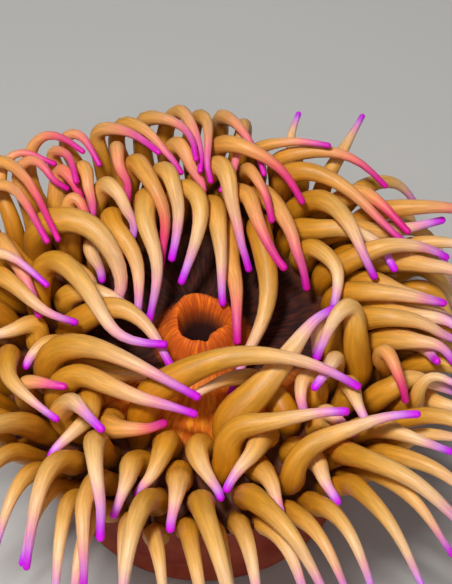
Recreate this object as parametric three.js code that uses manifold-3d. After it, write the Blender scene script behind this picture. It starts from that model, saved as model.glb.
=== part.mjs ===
// A sea anemone at life size, still: a smooth column on a flat foot, an oral disc with a raised
// mouth, and four staggered rings of long tapering tentacles.
// Millimetres, +Z up, origin at the centre of the foot's sole. +X is the animal's right as it is
// usually looked at, from -Y.

import * as THREE from 'three';
import { mergeVertices } from 'three/addons/utils/BufferGeometryUtils.js';
import Module from 'manifold-3d';

const wasm = await Module();
wasm.setup();

// ---------------------------------------------------------------- driving sizes

const GAP = 0.3; // left between neighbouring pieces

const FOOT_RADIUS = 32;
const FOOT_HEIGHT = 3;
const FOOT_SPREAD = 1.5; // how far the foot stands out round the column
const WAIST_RADIUS = 27;
const WAIST_HEIGHT = 18;
const MARGIN_RADIUS = 42;
const COLUMN_JOINTS = [14, 25, 35]; // heights at which the column is parted
const COLUMN_TOP = 41;
const FLARING = 2; // the higher, the later the column widens to its margin
const DISC_TOP = 46; // the oral disc's level where the first tentacles stand

const DISC_EDGE = 23.8; // radius at which the bare disc ends and the tentacles begin
const DISC_DIP = 1.2; // how far the bare disc sinks between the mouth and the tentacles
const DIP_RADIUS = 15; // where it is deepest
const DIP_WIDTH = 6;
const FALL_START = 27; // outside this radius the disc falls away to its edge
const FALL = 0.016;
const LIP_RING = 5.6; // radius at which the lips are highest
const LIP_HEIGHT = 4.6;
const LIP_WIDTH = 2.2;
const LIP_FOOT = 8.6; // radius at which the lips meet the bare disc
const MOUTH_RADIUS = 3.7;
const THROAT_RADIUS = 6.2;
const THROAT_BORE = 4.2;
const THROAT_BOTTOM = 33.5;

const TIP_RADIUS = 0.72; // at most
const TIP_SHARE = 0.25; // of a tentacle's base radius, where that is less
const TAPER = 1.8; // the higher, the sooner a tentacle thins
const TIP_STARTS = 0.96; // share of a tentacle's length where its end rounds off
const NECKING = 0.42; // how much narrower a tentacle is where it leaves the disc
const NECK_ENDS = 0.26; // share of its length where the neck has widened out
const SUNK = 1; // how deep in the disc a centre line starts
const STRAIGHT = 3; // how far it rises before it bends

// A tentacle without a pose, as shares of its length: it rises, goes on to its crest and then to its
// tip, and is lifted and let droop on the way.
const RISE = 0.33;
const TO_CREST = 0.27;
const TO_TIP = 0.264;
const LIFT = 0.126;
const DROOP = 0.18;
const STREAM = new THREE.Vector3(0.22, -0.06, 0); // the water's pull
const FORWARD = new THREE.Vector3(0.15, -0.95, 0); // where those at the back arch to

// How the tentacles are settled so that none touches another.
const POINTS = 25; // places along each centre line
const CLEARANCE = 0.9; // between the round skins of two tentacles
const DISC_CLEARANCE = 0.4;
const FLOOR_CLEARANCE = 1;
const ROUNDS = 60;
const ROUNDS_PER_SEARCH = 10; // for the places that are near each other
const SEARCH_REACH = 3; // how much further off they may be than touching
const PUSH = 0.7; // share of an overlap that is undone in a round
const LONGEST_MOVE = 0.8; // of a place in a round
const STIFFNESS = 0.35; // share of a lost bend that is given back in a round
const HOLDS = { A: 0.35, B: 0.5, C: 0.7, D: 0.85 }; // how freely a posed one gives way; others are 1

// The faceted solids.
const BODY_SIDES = 22;
const LIP_SIDES = 18;
const THROAT_SIDES = 14;
const TENTACLE_SIDES = 5;
const ROUNDING = 1.05; // makes up for a tentacle's flat sides
const BEND_WEIGHT = 0.4; // draws a tentacle's rings to where it bends
const RIM_STEP = Math.PI / 14; // angle of one flat side of the rim's pieces
const TINY = 1e-6;
const SLIVER = 1e-3; // a shared volume too small to cut away

const COLOURS = {
  column: 0xb25a2d,
  disc: 0xc96018,
  lips: 0xd46a1c,
  throat: 0x5a1c10,
  tentacle: 0xcc9438,
  tip: 0xe79a86,
};

// The rings of tentacles from the inside out. Of each: how many tentacles, the radius it stands at,
// how far it is turned in slots, the tentacles' base radius, how far their roots lean out, their
// length where they have no pose, the outer radius of its piece of the disc's rim, how many
// tentacles share a piece, and how many steps each one's solid has.
const RINGS = {
  A: { slots: 28, radius: 27, turn: 0, base: 2.9, lean: 0.1, length: 49, rim: 29.3, share: 2, steps: 5 },
  B: { slots: 28, radius: 31.6, turn: 0.5, base: 2.85, lean: 0.3, length: 48, rim: 33.8, share: 2, steps: 4 },
  C: { slots: 28, radius: 36, turn: 0, base: 2.65, lean: 0.55, length: 45, rim: 37.9, share: 4, steps: 4 },
  D: { slots: 56, radius: 39.9, turn: 0.5, base: 2.25, lean: 0.6, length: 38, rim: 42, share: 8, steps: 3 },
};

const GIRTHS = { A22: 1.3, A19: 1.08, C12: 1.25, B26: 1.08, B15: 1.05 }; // some are stouter

// The long tentacles that are parted half way, the outer length being a piece of its own.
const PARTED = ['A5', 'A8', 'A14', 'A19', 'A22', 'B4', 'B13', 'B15', 'B26', 'C5'];
const PART_ENDS = 0.496; // share of such a tentacle's length where its first length ends

// How a tentacle lies: the places it passes through after its root, the last one its tip. Each place
// is [across, up, height]: mm to the right of the mouth, mm above it as seen from the front looking
// down at SIGHT_ANGLE, and mm over the disc.
const SIGHT_ANGLE = THREE.MathUtils.degToRad(55);
const SIGHT_DISTANCE = 330;
const POSES = {
  A0: [[32, 2, 8], [38, 3, 12], [47, 2, 11], [54, -1, 7]],
  A1: [[34, 8, 9], [42, 8, 12], [51, 6.5, 10]],
  A2: [[29, 14, 9], [35, 17.5, 12], [43, 17.5, 12], [51, 15, 9]],
  A3: [[21.5, 18.5, 12], [28, 14, 12], [28.5, 5, 8]],
  A4: [[23, 20, 9], [28, 22, 12], [34, 19, 12], [40, 13, 8]],
  A5: [[9.5, 23, 13], [13, 14, 11], [13, 6, 8], [8.5, -4, 3], [6.2, -10.4, 2.5]],
  A6: [[5, 24, 10], [6.5, 14, 9], [7, 1, 3]],
  A7: [[2, 27, 14], [4, 20, 13], [5, 14, 10], [4, 7, 5]],
  A8: [[-3, 30, 17], [0.5, 26.5, 17], [-0.5, 20, 14], [-4.5, 10, 8]],
  A9: [[-12, 29, 17], [-9, 20, 15], [-8.5, 13, 12], [-11, 3.5, 5]],
  A10: [[-17, 27, 13], [-13, 18, 12], [-12, 5, 6]],
  A11: [[-21.5, 19, 8], [-23.2, 17.5, 9], [-23.2, 11, 5]],
  A12: [[-27, 13, 5], [-24, 10, 6], [-20, 5, 5]],
  A13: [[-22, 9, 7], [-14, 5, 8], [-12, 1, 5]],
  A14: [[-24, 4, 6], [-17.5, 7, 11], [-11, 3, 11], [-6, -5.5, 8]],
  A15: [[-27, -1, 5], [-30, -3, 6], [-36, -6, 5]],
  A16: [[-19, -8, 6], [-12, -7, 7], [-4, -9, 5]],
  A17: [[-23, -15, 6], [-27, -20, 8], [-31, -27, 6]],
  A18: [[-18.5, -19, 6], [-14, -18, 8], [-7, -18.5, 6]],
  A19: [[-12.5, -12.5, 10], [-5, -7.5, 15], [4, -3.5, 18], [14, -3, 18], [23, -5, 17], [31, -9.5, 14]],
  A20: [[-7.5, -25.5, 3.5], [-9, -29.5, 5], [-11, -35, 3]],
  A21: [[0.5, -26, 3.5], [1.5, -30, 5], [3, -36, 3]],
  A22: [[11, -14, 8], [18, -3, 14], [23.5, 4, 16], [29, 6, 15]],
  A23: [[8, -22, 6], [6, -27, 8], [5, -33, 6]],
  A24: [[16.5, -13, 5], [11.5, -8.2, 6.5], [6, -7.8, 9.5], [1.5, -9.5, 11], [-2, -11.5, 10.5]],
  A25: [[24.5, -9, 8], [22, -6.5, 11], [20.5, -10, 12], [21, -15, 9]],
  A26: [[27, -8, 6], [27, -4, 11], [25, -6, 14], [21, -9.5, 12]],
  A27: [[27, 4.5, 12], [24, 3, 13], [24, -2.5, 9]],
  B0: [[38, 3.5, 7], [47, 2.5, 10], [55, -1.5, 9]],
  B1: [[37, 8, 6], [45, 7.5, 7], [50, 6.5, 6]],
  B2: [[33, 15.5, 7], [43, 16, 11], [51, 14, 11], [57, 9.5, 9]],
  B3: [[29, 21, 6], [38, 21, 6], [49.5, 23.5, 6]],
  B4: [[24, 26.5, 12], [31, 19.5, 13], [33.5, 13, 10], [34, 7.5, 6]],
  B5: [[10, 29, 12], [16.5, 24, 14], [20.5, 17.5, 12], [21, 10, 7]],
  B6: [[7.5, 29.5, 17], [11, 22, 16], [14, 16, 13], [16.5, 14, 13]],
  B7: [[4, 33, 18], [7.5, 28, 17], [7.5, 18, 11], [7, 10.2, 7]],
  B8: [[-9, 32, 18], [-6, 27.5, 17], [-6, 20, 13], [-7, 10.5, 7]],
  B9: [[-12.5, 33, 18], [-9.5, 27, 17], [-8.5, 17, 12], [-8.2, 6.5, 6]],
  B10: [[-20, 30, 15], [-15, 30.5, 18], [-13.5, 25, 15], [-15, 17, 9]],
  B11: [[-27, 21, 11], [-27.8, 27, 15.5], [-25, 27.5, 16], [-22.2, 21.4, 12]],
  B12: [[-42, 20, 9], [-38, 16, 12], [-35, 10, 10], [-34, 5, 8]],
  B13: [[-35, 13, 8], [-31, 17, 14], [-24, 11, 15], [-19, 2, 13], [-9.5, -0.5, 11]],
  B14: [[-33, 3, 6], [-38, 2, 7], [-44, -1, 5]],
  B15: [[-29, -3, 10], [-22, -1.5, 16], [-12, -5, 18], [1, -12, 15]],
  B16: [[-21, -11, 8], [-11, -12, 13], [-2, -14, 13], [4.5, -16.8, 11]],
  B17: [[-24, -12.5, 14], [-22, -15, 19], [-17.5, -19.5, 18]],
  B19: [[-12, -27, 6], [-14, -31, 9], [-16, -37, 5]],
  B20: [[-4, -28, 6], [-5, -33, 9], [-6, -39, 5]],
  B21: [[7, -19.5, 8], [17.5, -16, 14], [25.5, -14, 17], [32, -14, 17]],
  B22: [[14, -24, 6], [15, -29, 8], [16, -35, 6]],
  B23: [[22, -24, 5], [25, -28, 6], [29, -33, 4]],
  B24: [[25, -14, 8], [28.5, -17, 10], [30.5, -19, 8]],
  B25: [[29, -8, 9], [31.5, -12.5, 12], [34, -16.5, 10]],
  B26: [[31, -1, 10], [30.5, 7, 16], [27, 5, 18], [24, -4.5, 11]],
  B27: [[36, -1, 7], [42.5, 1, 11], [48, -1, 11], [50.5, -4.5, 9]],
  C0: [[42, -1, 4], [46, -3, 7], [47.5, -4.5, 11]],
  C1: [[41, 6, 3], [47, 5, 3], [53, 1, 0]],
  C2: [[40, 17.5, 7], [46, 19, 9], [56, 18, 8]],
  C3: [[34, 23.5, 7], [43, 25.5, 10], [51, 25.5, 10], [59, 23, 8]],
  C4: [[26, 26, 8], [31, 29, 12], [36, 26, 13], [41, 20, 10]],
  C5: [[16, 33, 14], [22, 33.5, 16], [30.5, 28.5, 15], [39.5, 17.5, 8]],
  C6: [[9, 33, 18], [11, 28, 18], [13.5, 21.5, 14]],
  C7: [[4, 38, 20], [11.5, 36.5, 21], [17, 32.5, 18], [20.5, 26, 14]],
  C8: [[-5.5, 38.5, 19], [-2.3, 32, 18], [-3.2, 22.8, 13]],
  C9: [[-16, 37.5, 19], [-12.5, 31, 18], [-12, 24.2, 14]],
  C10: [[-25, 34, 16], [-21.5, 31, 16], [-21, 22.4, 11]],
  C11: [[-30, 33, 15], [-26.5, 32.5, 17], [-23.4, 26.8, 14]],
  C12: [[-34, 18, 9], [-31, 23, 14], [-25.5, 24.3, 15.5], [-19.8, 22.8, 15.5], [-16.2, 18.2, 13.5],
    [-15.4, 13, 10], [-17.2, 8.5, 7], [-21, 6, 5], [-28, 5.5, 3.5]],
  C13: [[-41, 13, 8], [-38.5, 13.5, 13], [-32, 6, 13], [-25, 3.2, 11]],
  C15: [[-37, -3.5, 7], [-38, -8, 12], [-32, -13, 13], [-26.5, -16, 11]],
  C16: [[-35.5, -11, 6], [-35, -8.5, 9], [-30, -9, 10], [-25.5, -10, 9]],
  C23: [[22, -20.5, 9], [31.5, -17.5, 14], [40, -14.5, 17], [46.5, -14.5, 17]],
  C25: [[36, -18, 8], [44, -20, 11], [51, -22.5, 9]],
  C26: [[39, -10, 5], [46, -9.5, 7], [55, -12, 6]],
  C27: [[34, -6, 8], [36, -1.5, 14.5], [40, -8, 13.5], [41, -12, 10]],
  D0: [[45, 0, 1], [50, -3, -5], [52, -9, -13]],
  D1: [[45, 4, 1], [50, 1, -5], [52, -6, -13]],
  D2: [[44, 7, 1], [49, 3, -5], [51, -3, -13]],
  D3: [[44, 12, 2], [49, 9, -4], [51, 3, -12]],
  D4: [[42, 17, 2], [48, 13, -3], [51, 6, -10]],
  D5: [[41, 21, 3], [46, 19, -2], [49, 13, -9]],
  D6: [[38, 25, 2], [42, 22, -4], [44, 16, -12]],
  D7: [[33, 30, 4], [39, 30, 0], [43, 25, -8]],
  D8: [[25, 32, 9], [28, 37, 12], [32, 44, 11]],
  D9: [[17, 35, 10], [16.5, 38, 13], [19, 44, 13]],
  D10: [[16, 35, 13], [23, 37.5, 16], [31, 35.5, 15], [37, 29.5, 10]],
  D11: [[11, 37, 14], [18, 38.5, 17], [26.5, 37.5, 17]],
  D12: [[7.9, 40, 10], [8, 43, 14], [6.5, 40, 19], [4.6, 29.6, 16]],
  D13: [[3.9, 40.2, 8.1], [4, 43.5, 15], [8.5, 40, 20], [12.8, 30.6, 16]],
  D14: [[-3, 38.7, 8.6], [-1.5, 44, 15], [1.5, 40, 20], [2.4, 29, 17]],
  D15: [[-8.9, 39.1, 8.3], [-5, 45, 15], [-1.5, 42, 20], [1.6, 33, 18]],
  D16: [[-11.6, 38.1, 6.9], [-11.5, 43.5, 15], [-4.5, 41, 20], [-1.5, 32, 18]],
  D17: [[-17.9, 35.4, 6.3], [-17, 42, 14], [-12, 42, 19], [-7, 38, 20], [-4, 33.2, 18]],
  D18: [[-20.1, 35.1, 8.4], [-21.5, 41, 14], [-16, 41, 19], [-12, 38, 19], [-9.4, 33.4, 17]],
  D19: [[-22.8, 31.9, 6], [-28, 38.5, 13], [-24.5, 40.5, 18], [-20.8, 33.8, 16]],
  D20: [[-28.1, 31.5, 8.7], [-30.5, 36, 14], [-26, 36, 18], [-22.6, 29.4, 16]],
  D21: [[-33.7, 27.2, 6.1], [-35, 36, 13], [-30.5, 40, 18], [-23.6, 35, 17]],
  D22: [[-34.4, 25.7, 7.9], [-38, 33, 13], [-33.5, 36.5, 17], [-27.4, 30.6, 15]],
  D23: [[-37.9, 23.2, 9], [-41.5, 31, 13], [-37.5, 37, 16], [-29.4, 34.6, 15]],
  D24: [[-40.1, 16.2, 5.8], [-44, 29, 13], [-40.4, 36, 16.5],
    [-34.4, 31.4, 19], [-31.4, 25.4, 19.5], [-28.2, 18.9, 18.5]],
  D25: [[-41.9, 14, 7.5], [-46.5, 22, 12], [-43.5, 30, 15.5],
    [-38, 30.5, 18.5], [-34.4, 25.2, 19], [-31, 19.6, 18]],
  D26: [[-45.1, 11.7, 9], [-47, 21, 10], [-45, 29.5, 12], [-37.6, 30.2, 12]],
  D27: [[-45.2, 5, 7.3], [-46, 15, 14], [-39, 17, 17], [-30.5, 10.4, 15]],
  D50: [[44, -17, 8], [50, -18.5, 8], [56, -21, 6]],
  D52: [[42, -9.5, 9], [46.5, -6.5, 12], [53, -10, 11]],
  D53: [[44, -13, 5], [50, -13.5, 6], [57, -17, 3]],
  D54: [[43.5, -3.2, 4], [49.5, -4.5, 6], [56.5, -9, 5], [60, -13, 2]],
};

// ---------------------------------------------------------------- the oral disc's surface

// Height of the disc's surface over DISC_TOP at a radius: the lips' swelling, a shallow dip round
// them, and a fall outward under the tentacles.
function swell(radius) {
  const lips = LIP_HEIGHT * Math.exp(-(((radius - LIP_RING) / LIP_WIDTH) ** 2));
  const dip = DISC_DIP * Math.exp(-(((radius - DIP_RADIUS) / DIP_WIDTH) ** 2));
  const fall = FALL * Math.max(0, radius - FALL_START) ** 2;
  return lips - dip - fall;
}

// ---------------------------------------------------------------- the tentacles' centre lines

// A fixed number from 0 to 1 for each pair of numbers.
function chance(number, salt) {
  const mixed = Math.sin(number * 12.9898 + salt * 78.233) * 43758.5453;
  return mixed - Math.floor(mixed);
}

// The place that shows at `across` and `up` from the mouth, at a height over the disc.
function sighted([across, up, height]) {
  const s = Math.sin(SIGHT_ANGLE);
  const c = Math.cos(SIGHT_ANGLE);
  const reach = SIGHT_DISTANCE;
  const y = (up * (reach - height * s) - reach * height * c) / (reach * s - up * c);
  const nearer = height * s - y * c;
  return new THREE.Vector3((across * (reach - nearer)) / reach, y, DISC_TOP + height);
}

// Where a tentacle stands, which way its root points, and which way is outward.
function rootOf(ring, slot) {
  const angle = (2 * Math.PI * (slot + RINGS[ring].turn)) / RINGS[ring].slots;
  const outward = new THREE.Vector3(Math.cos(angle), Math.sin(angle), 0);
  const root = outward.clone().multiplyScalar(RINGS[ring].radius);
  root.z = DISC_TOP + swell(RINGS[ring].radius);
  const aim = outward.clone().multiplyScalar(RINGS[ring].lean);
  aim.z = 1;
  return { root, aim: aim.normalize(), outward };
}

// The path of a tentacle without a pose: up, outward with the stream, and drooping at the end. Those
// at the back (+Y) arch forward over the disc instead.
function drift(ring, { root, aim, outward }, number) {
  const { length, lean } = RINGS[ring];
  const long = length * (0.85 + 0.3 * chance(number, 1));
  const swing = 0.54 * (chance(number, 2) - 0.5);
  const lift = LIFT * (0.9 + 0.5 * chance(number, 3) - 0.5 * lean);
  const forward = Math.sqrt(Math.max(0, outward.y)) * (0.55 + 0.45 * chance(number, 4));
  const go = outward.clone().multiplyScalar((0.75 + 0.3 * lean) * (1 - forward))
    .add(STREAM)
    .addScaledVector(new THREE.Vector3(-outward.y, outward.x, 0), swing)
    .addScaledVector(FORWARD, forward);
  const rise = root.clone().addScaledVector(aim, long * RISE);
  rise.z += 3 * forward;
  const crest = rise.clone().addScaledVector(go, long * TO_CREST);
  crest.z += long * lift;
  const tip = crest.clone().addScaledVector(go, long * TO_TIP);
  tip.z -= long * DROOP;
  return [rise, crest, tip];
}

// A line through the places, cut into equal steps.
function evenLine(places, count) {
  const along = [0];
  for (let i = 1; i < places.length; i += 1) {
    along.push(along[i - 1] + places[i].distanceTo(places[i - 1]));
  }
  const line = [];
  for (let i = 0, k = 0; i < count; i += 1) {
    const want = (along[along.length - 1] * i) / (count - 1);
    while (k < places.length - 2 && along[k + 1] < want) k += 1;
    const share = (want - along[k]) / (along[k + 1] - along[k]);
    line.push(places[k].clone().lerp(places[k + 1], Math.min(share, 1)));
  }
  return line;
}

// A smooth curve through the places (uniform Catmull-Rom).
function curveThrough(places, pieces = 16) {
  const last = places.length - 1;
  const before = places[0].clone().multiplyScalar(2).sub(places[1]);
  const after = places[last].clone().multiplyScalar(2).sub(places[last - 1]);
  const all = [before, ...places, after];
  const curve = [];
  for (let i = 1; i < all.length - 2; i += 1) {
    for (let j = 0; j < pieces; j += 1) {
      const t = j / pieces;
      const at = (axis) => 0.5 * (2 * all[i][axis] + (all[i + 1][axis] - all[i - 1][axis]) * t
        + (2 * all[i - 1][axis] - 5 * all[i][axis] + 4 * all[i + 1][axis] - all[i + 2][axis]) * t ** 2
        + (3 * all[i][axis] - all[i - 1][axis] - 3 * all[i + 1][axis] + all[i + 2][axis]) * t ** 3);
      curve.push(new THREE.Vector3(at('x'), at('y'), at('z')));
    }
  }
  curve.push(places[last]);
  return curve;
}

// Rounds off the corners of a line, its ends staying where they are.
function softened(line) {
  let soft = line;
  for (let pass = 0; pass < 4; pass += 1) {
    soft = soft.map((place, i) => (i === 0 || i === soft.length - 1 ? place
      : place.clone().multiplyScalar(2).add(soft[i - 1]).add(soft[i + 1]).multiplyScalar(0.25)));
  }
  return evenLine(soft, POINTS);
}

// A tentacle's radius at a share of its length: a narrow neck, then a long taper.
function thickness(base, share) {
  const tip = Math.min(TIP_RADIUS, TIP_SHARE * base);
  const taper = tip + (base - tip) * (1 - share ** 2) ** TAPER;
  return taper * (1 - NECKING * Math.max(0, 1 - share / NECK_ENDS) ** 2);
}

function layTentacles() {
  const tentacles = [];
  for (const ring of Object.keys(RINGS)) {
    for (let slot = 0; slot < RINGS[ring].slots; slot += 1) {
      const name = `${ring}${slot}`;
      const number = tentacles.length + 1;
      const stance = rootOf(ring, slot);
      const { root, aim } = stance;
      const way = POSES[name] ? POSES[name].map(sighted) : drift(ring, stance, number);
      const sunk = root.clone().addScaledVector(aim, -SUNK);
      const out = root.clone().addScaledVector(aim, STRAIGHT);
      const line = softened(evenLine(curveThrough([sunk, out, ...way]), POINTS));
      const base = RINGS[ring].base * (0.97 + 0.06 * chance(number, 5)) * (GIRTHS[name] ?? 1);
      const radii = line.map((_, i) => thickness(base, i / (POINTS - 1)));
      tentacles.push({ name, ring, slot, line, radii });
    }
  }
  return tentacles;
}

// How freely each place of a centre line moves: its root is held.
const LOOSE = Array.from({ length: POINTS }, (_, i) => Math.min(Math.max((i - 1) / 4, 0), 1));
const HELD = 0.25; // places no freer than this stay in the disc

// Moves the tentacles apart until none touches another, the disc, the rim or the floor. Each keeps
// its root, its length and nearly its bends.
function settle(tentacles) {
  const places = tentacles.flatMap(({ name, ring, line, radii }, owner) => line.map((place, i) => {
    const yields = LOOSE[i] * (POSES[name] ? HOLDS[ring] : 1);
    return { place, radius: radii[i], loose: LOOSE[i], yields, owner, push: new THREE.Vector3() };
  }));
  const bends = tentacles.map(({ line }) => line.map((place, i) => (
    i === 0 || i === POINTS - 1 ? null
      : line[i - 1].clone().add(line[i + 1]).addScaledVector(place, -2))));
  const steps = tentacles.map(({ line }) => (
    line.slice(1).reduce((sum, place, i) => sum + place.distanceTo(line[i]), 0) / (POINTS - 1)));
  let near = [];
  for (let round = 0; round < ROUNDS; round += 1) {
    if (round % ROUNDS_PER_SEARCH === 0) near = neighbours(places);
    near.forEach(([one, other]) => pushApart(one, other));
    for (const spot of places) {
      spot.push.clampLength(0, LONGEST_MOVE);
      spot.place.addScaledVector(spot.push, spot.loose);
      spot.push.set(0, 0, 0);
      if (spot.loose > HELD) keepOff(spot);
    }
    tentacles.forEach(({ line }, k) => restoreShape(line, bends[k], steps[k]));
  }
}

// The pairs of places, of different tentacles, that could meet before the next search.
function neighbours(places) {
  const found = [];
  for (let i = 0; i < places.length; i += 1) {
    for (let j = i + 1; j < places.length; j += 1) {
      const one = places[i];
      const other = places[j];
      const reach = one.radius + other.radius + CLEARANCE + SEARCH_REACH;
      if (one.owner !== other.owner && one.place.distanceToSquared(other.place) < reach ** 2) {
        found.push([one, other]);
      }
    }
  }
  return found;
}

const apart = new THREE.Vector3();

function pushApart(one, other) {
  apart.subVectors(one.place, other.place);
  const distance = Math.max(apart.length(), TINY);
  const lack = one.radius + other.radius + CLEARANCE - distance;
  if (lack <= 0) return;
  const both = Math.max(one.yields + other.yields, TINY);
  const push = (lack * PUSH) / distance / both;
  one.push.addScaledVector(apart, push * one.yields);
  other.push.addScaledVector(apart, -push * other.yields);
}

// Lifts a place off the disc, out past the rim, and off the floor.
function keepOff({ place, radius }) {
  const out = Math.hypot(place.x, place.y);
  if (out < MARGIN_RADIUS) {
    const low = DISC_TOP + swell(out) + radius + DISC_CLEARANCE;
    place.z += Math.max(low - place.z, 0) * 0.5;
  } else if (place.z < DISC_TOP) {
    const grow = Math.max(MARGIN_RADIUS + 0.5 + radius - out, 0) / out;
    place.x += place.x * grow * 0.5;
    place.y += place.y * grow * 0.5;
  }
  place.z = Math.max(place.z, radius + FLOOR_CLEARANCE);
}

// Gives a line back some of its bends and all of its length.
function restoreShape(line, bends, step) {
  const middle = line.map((place, i) => (bends[i]
    ? line[i - 1].clone().add(line[i + 1]).sub(bends[i]).multiplyScalar(0.5) : place));
  line.forEach((place, i) => {
    if (bends[i]) place.lerp(middle[i], STIFFNESS * LOOSE[i]);
  });
  for (let i = 2; i < POINTS; i += 1) {
    apart.subVectors(line[i], line[i - 1]).setLength(step);
    line[i].copy(line[i - 1]).add(apart);
  }
}

// ---------------------------------------------------------------- solids

// A geometry as a solid that can be cut and joined.
function solid(geometry) {
  geometry.deleteAttribute('normal');
  geometry.deleteAttribute('uv');
  const merged = mergeVertices(geometry);
  return new wasm.Manifold(new wasm.Mesh({
    numProp: 3,
    vertProperties: Float32Array.from(merged.attributes.position.array),
    triVerts: Uint32Array.from(merged.index.array),
  }));
}

// A solid of revolution about Z from [radius, height] corners, counterclockwise in that plane. It
// starts and ends on the axis, or else it closes into a ring.
function turned(corners, sides = BODY_SIDES) {
  const profile = corners.map(([radius, height]) => new THREE.Vector2(radius, height));
  if (profile[0].x > 0) profile.push(profile[0].clone());
  const geometry = new THREE.LatheGeometry(profile, sides);
  geometry.rotateX(Math.PI / 2);
  return solid(geometry);
}

// The middle and the two cross directions at each place of a line, carried along it without twist.
function framesAlong(line) {
  const frames = [];
  const side = new THREE.Vector3(1, 0, 0);
  line.forEach((centre, i) => {
    const behind = line[Math.max(i - 1, 0)];
    const ahead = line[Math.min(i + 1, line.length - 1)];
    const along = ahead.clone().sub(behind).normalize();
    side.addScaledVector(along, -side.dot(along)).normalize();
    frames.push({ centre, side: side.clone(), up: side.clone().cross(along) });
  });
  return frames;
}

// The frame and the radius at a share of a tentacle's length.
function ringAt({ frames, radii }, share) {
  const at = share * (radii.length - 1);
  const i = Math.min(Math.floor(at), radii.length - 2);
  const mix = at - i;
  const blend = (key) => frames[i][key].clone().lerp(frames[i + 1][key], mix);
  return {
    centre: blend('centre'),
    side: blend('side').normalize(),
    up: blend('up').normalize(),
    radius: radii[i] + (radii[i + 1] - radii[i]) * mix,
  };
}

// The shares of a tentacle's length at which its rings stand, closer together where it bends.
function ringShares({ line }, from, to, steps) {
  const level = [0];
  for (let i = 1; i < POINTS; i += 1) {
    const before = line[i].clone().sub(line[i - 1]);
    const turn = i < POINTS - 1 ? before.angleTo(line[i + 1].clone().sub(line[i])) : 0;
    level.push(level[i - 1] + 1 / (POINTS - 1) + BEND_WEIGHT * turn);
  }
  const levelAt = (share) => {
    const i = Math.min(Math.floor(share * (POINTS - 1)), POINTS - 2);
    return THREE.MathUtils.lerp(level[i], level[i + 1], share * (POINTS - 1) - i);
  };
  const shareAt = (wanted) => {
    const i = Math.max(level.findIndex((reached) => reached >= wanted), 1);
    return (i - 1 + (wanted - level[i - 1]) / (level[i] - level[i - 1])) / (POINTS - 1);
  };
  const start = levelAt(from);
  const span = levelAt(to) - start;
  return Array.from({ length: steps + 1 }, (_, i) => shareAt(start + (span * i) / steps));
}

// A round, tapering body along a tentacle's centre line, between two shares of its length: a turned
// finger whose rings are laid along the line. `grow` thickens it.
function finger(tentacle, from = 0, to = 1, grow = 0) {
  const steps = Math.ceil(RINGS[tentacle.ring].steps * (to - from));
  const shares = ringShares(tentacle, from, to === 1 ? TIP_STARTS : to, steps);
  const rings = shares.map((share) => ringAt(tentacle, share));
  const profile = rings.map(({ radius }, i) => new THREE.Vector2(radius * ROUNDING + grow, i));
  profile.unshift(new THREE.Vector2(0, 0));
  if (to === 1) rings.push(ringAt(tentacle, 1));
  profile.push(new THREE.Vector2(0, rings.length - 1));
  const geometry = new THREE.LatheGeometry(profile, TENTACLE_SIDES);
  const { position } = geometry.attributes;
  for (let i = 0; i < position.count; i += 1) {
    const { centre, side, up } = rings[Math.round(position.getY(i))];
    const placed = centre.clone()
      .addScaledVector(side, position.getX(i))
      .addScaledVector(up, position.getZ(i));
    position.setXYZ(i, placed.x, placed.y, placed.z);
  }
  return solid(geometry);
}

// A flat-topped piece of the disc's rim between two radii and two angles.
function rimPiece(inner, outer, start, end, top) {
  const arcSteps = Math.round((end - start) / RIM_STEP);
  const corner = (radius, share) => {
    const inset = GAP / 2 / radius;
    const angle = start + inset + (end - start - 2 * inset) * share;
    return new THREE.Vector2(radius * Math.cos(angle), radius * Math.sin(angle));
  };
  const outline = [];
  for (let i = 0; i <= arcSteps; i += 1) outline.push(corner(outer, i / arcSteps));
  for (let i = arcSteps; i >= 0; i -= 1) outline.push(corner(inner, i / arcSteps));
  const depth = top - COLUMN_TOP - GAP;
  const geometry = new THREE.ExtrudeGeometry(new THREE.Shape(outline), { depth, bevelEnabled: false });
  geometry.translate(0, 0, COLUMN_TOP + GAP);
  return solid(geometry);
}

// The largest body of a solid that a cut may have parted.
function mainBody(shape) {
  return shape.decompose().reduce((best, part) => (part.volume() > best.volume() ? part : best));
}

// ---------------------------------------------------------------- the pieces

const pieces = []; // { name, shape, colour, roughness }

function addPiece(name, shape, colour, roughness = 0.45) {
  pieces.push({ name, shape, colour, roughness });
}

// The column's radius: a spreading foot, a waist, and a flare up to the margin.
function columnRadius(height) {
  const low = THREE.MathUtils.smoothstep(height, FOOT_HEIGHT, WAIST_HEIGHT);
  const foot = THREE.MathUtils.lerp(FOOT_RADIUS - FOOT_SPREAD, WAIST_RADIUS, low);
  const rise = Math.max(height - WAIST_HEIGHT, 0) / (COLUMN_TOP - WAIST_HEIGHT);
  return foot + (MARGIN_RADIUS - 0.5 - WAIST_RADIUS) * rise ** FLARING;
}

function columnSide(bottom, top, steps = 2) {
  return Array.from({ length: steps + 1 }, (_, i) => {
    const height = bottom + ((top - bottom) * i) / steps;
    return [columnRadius(height), height];
  });
}

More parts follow.
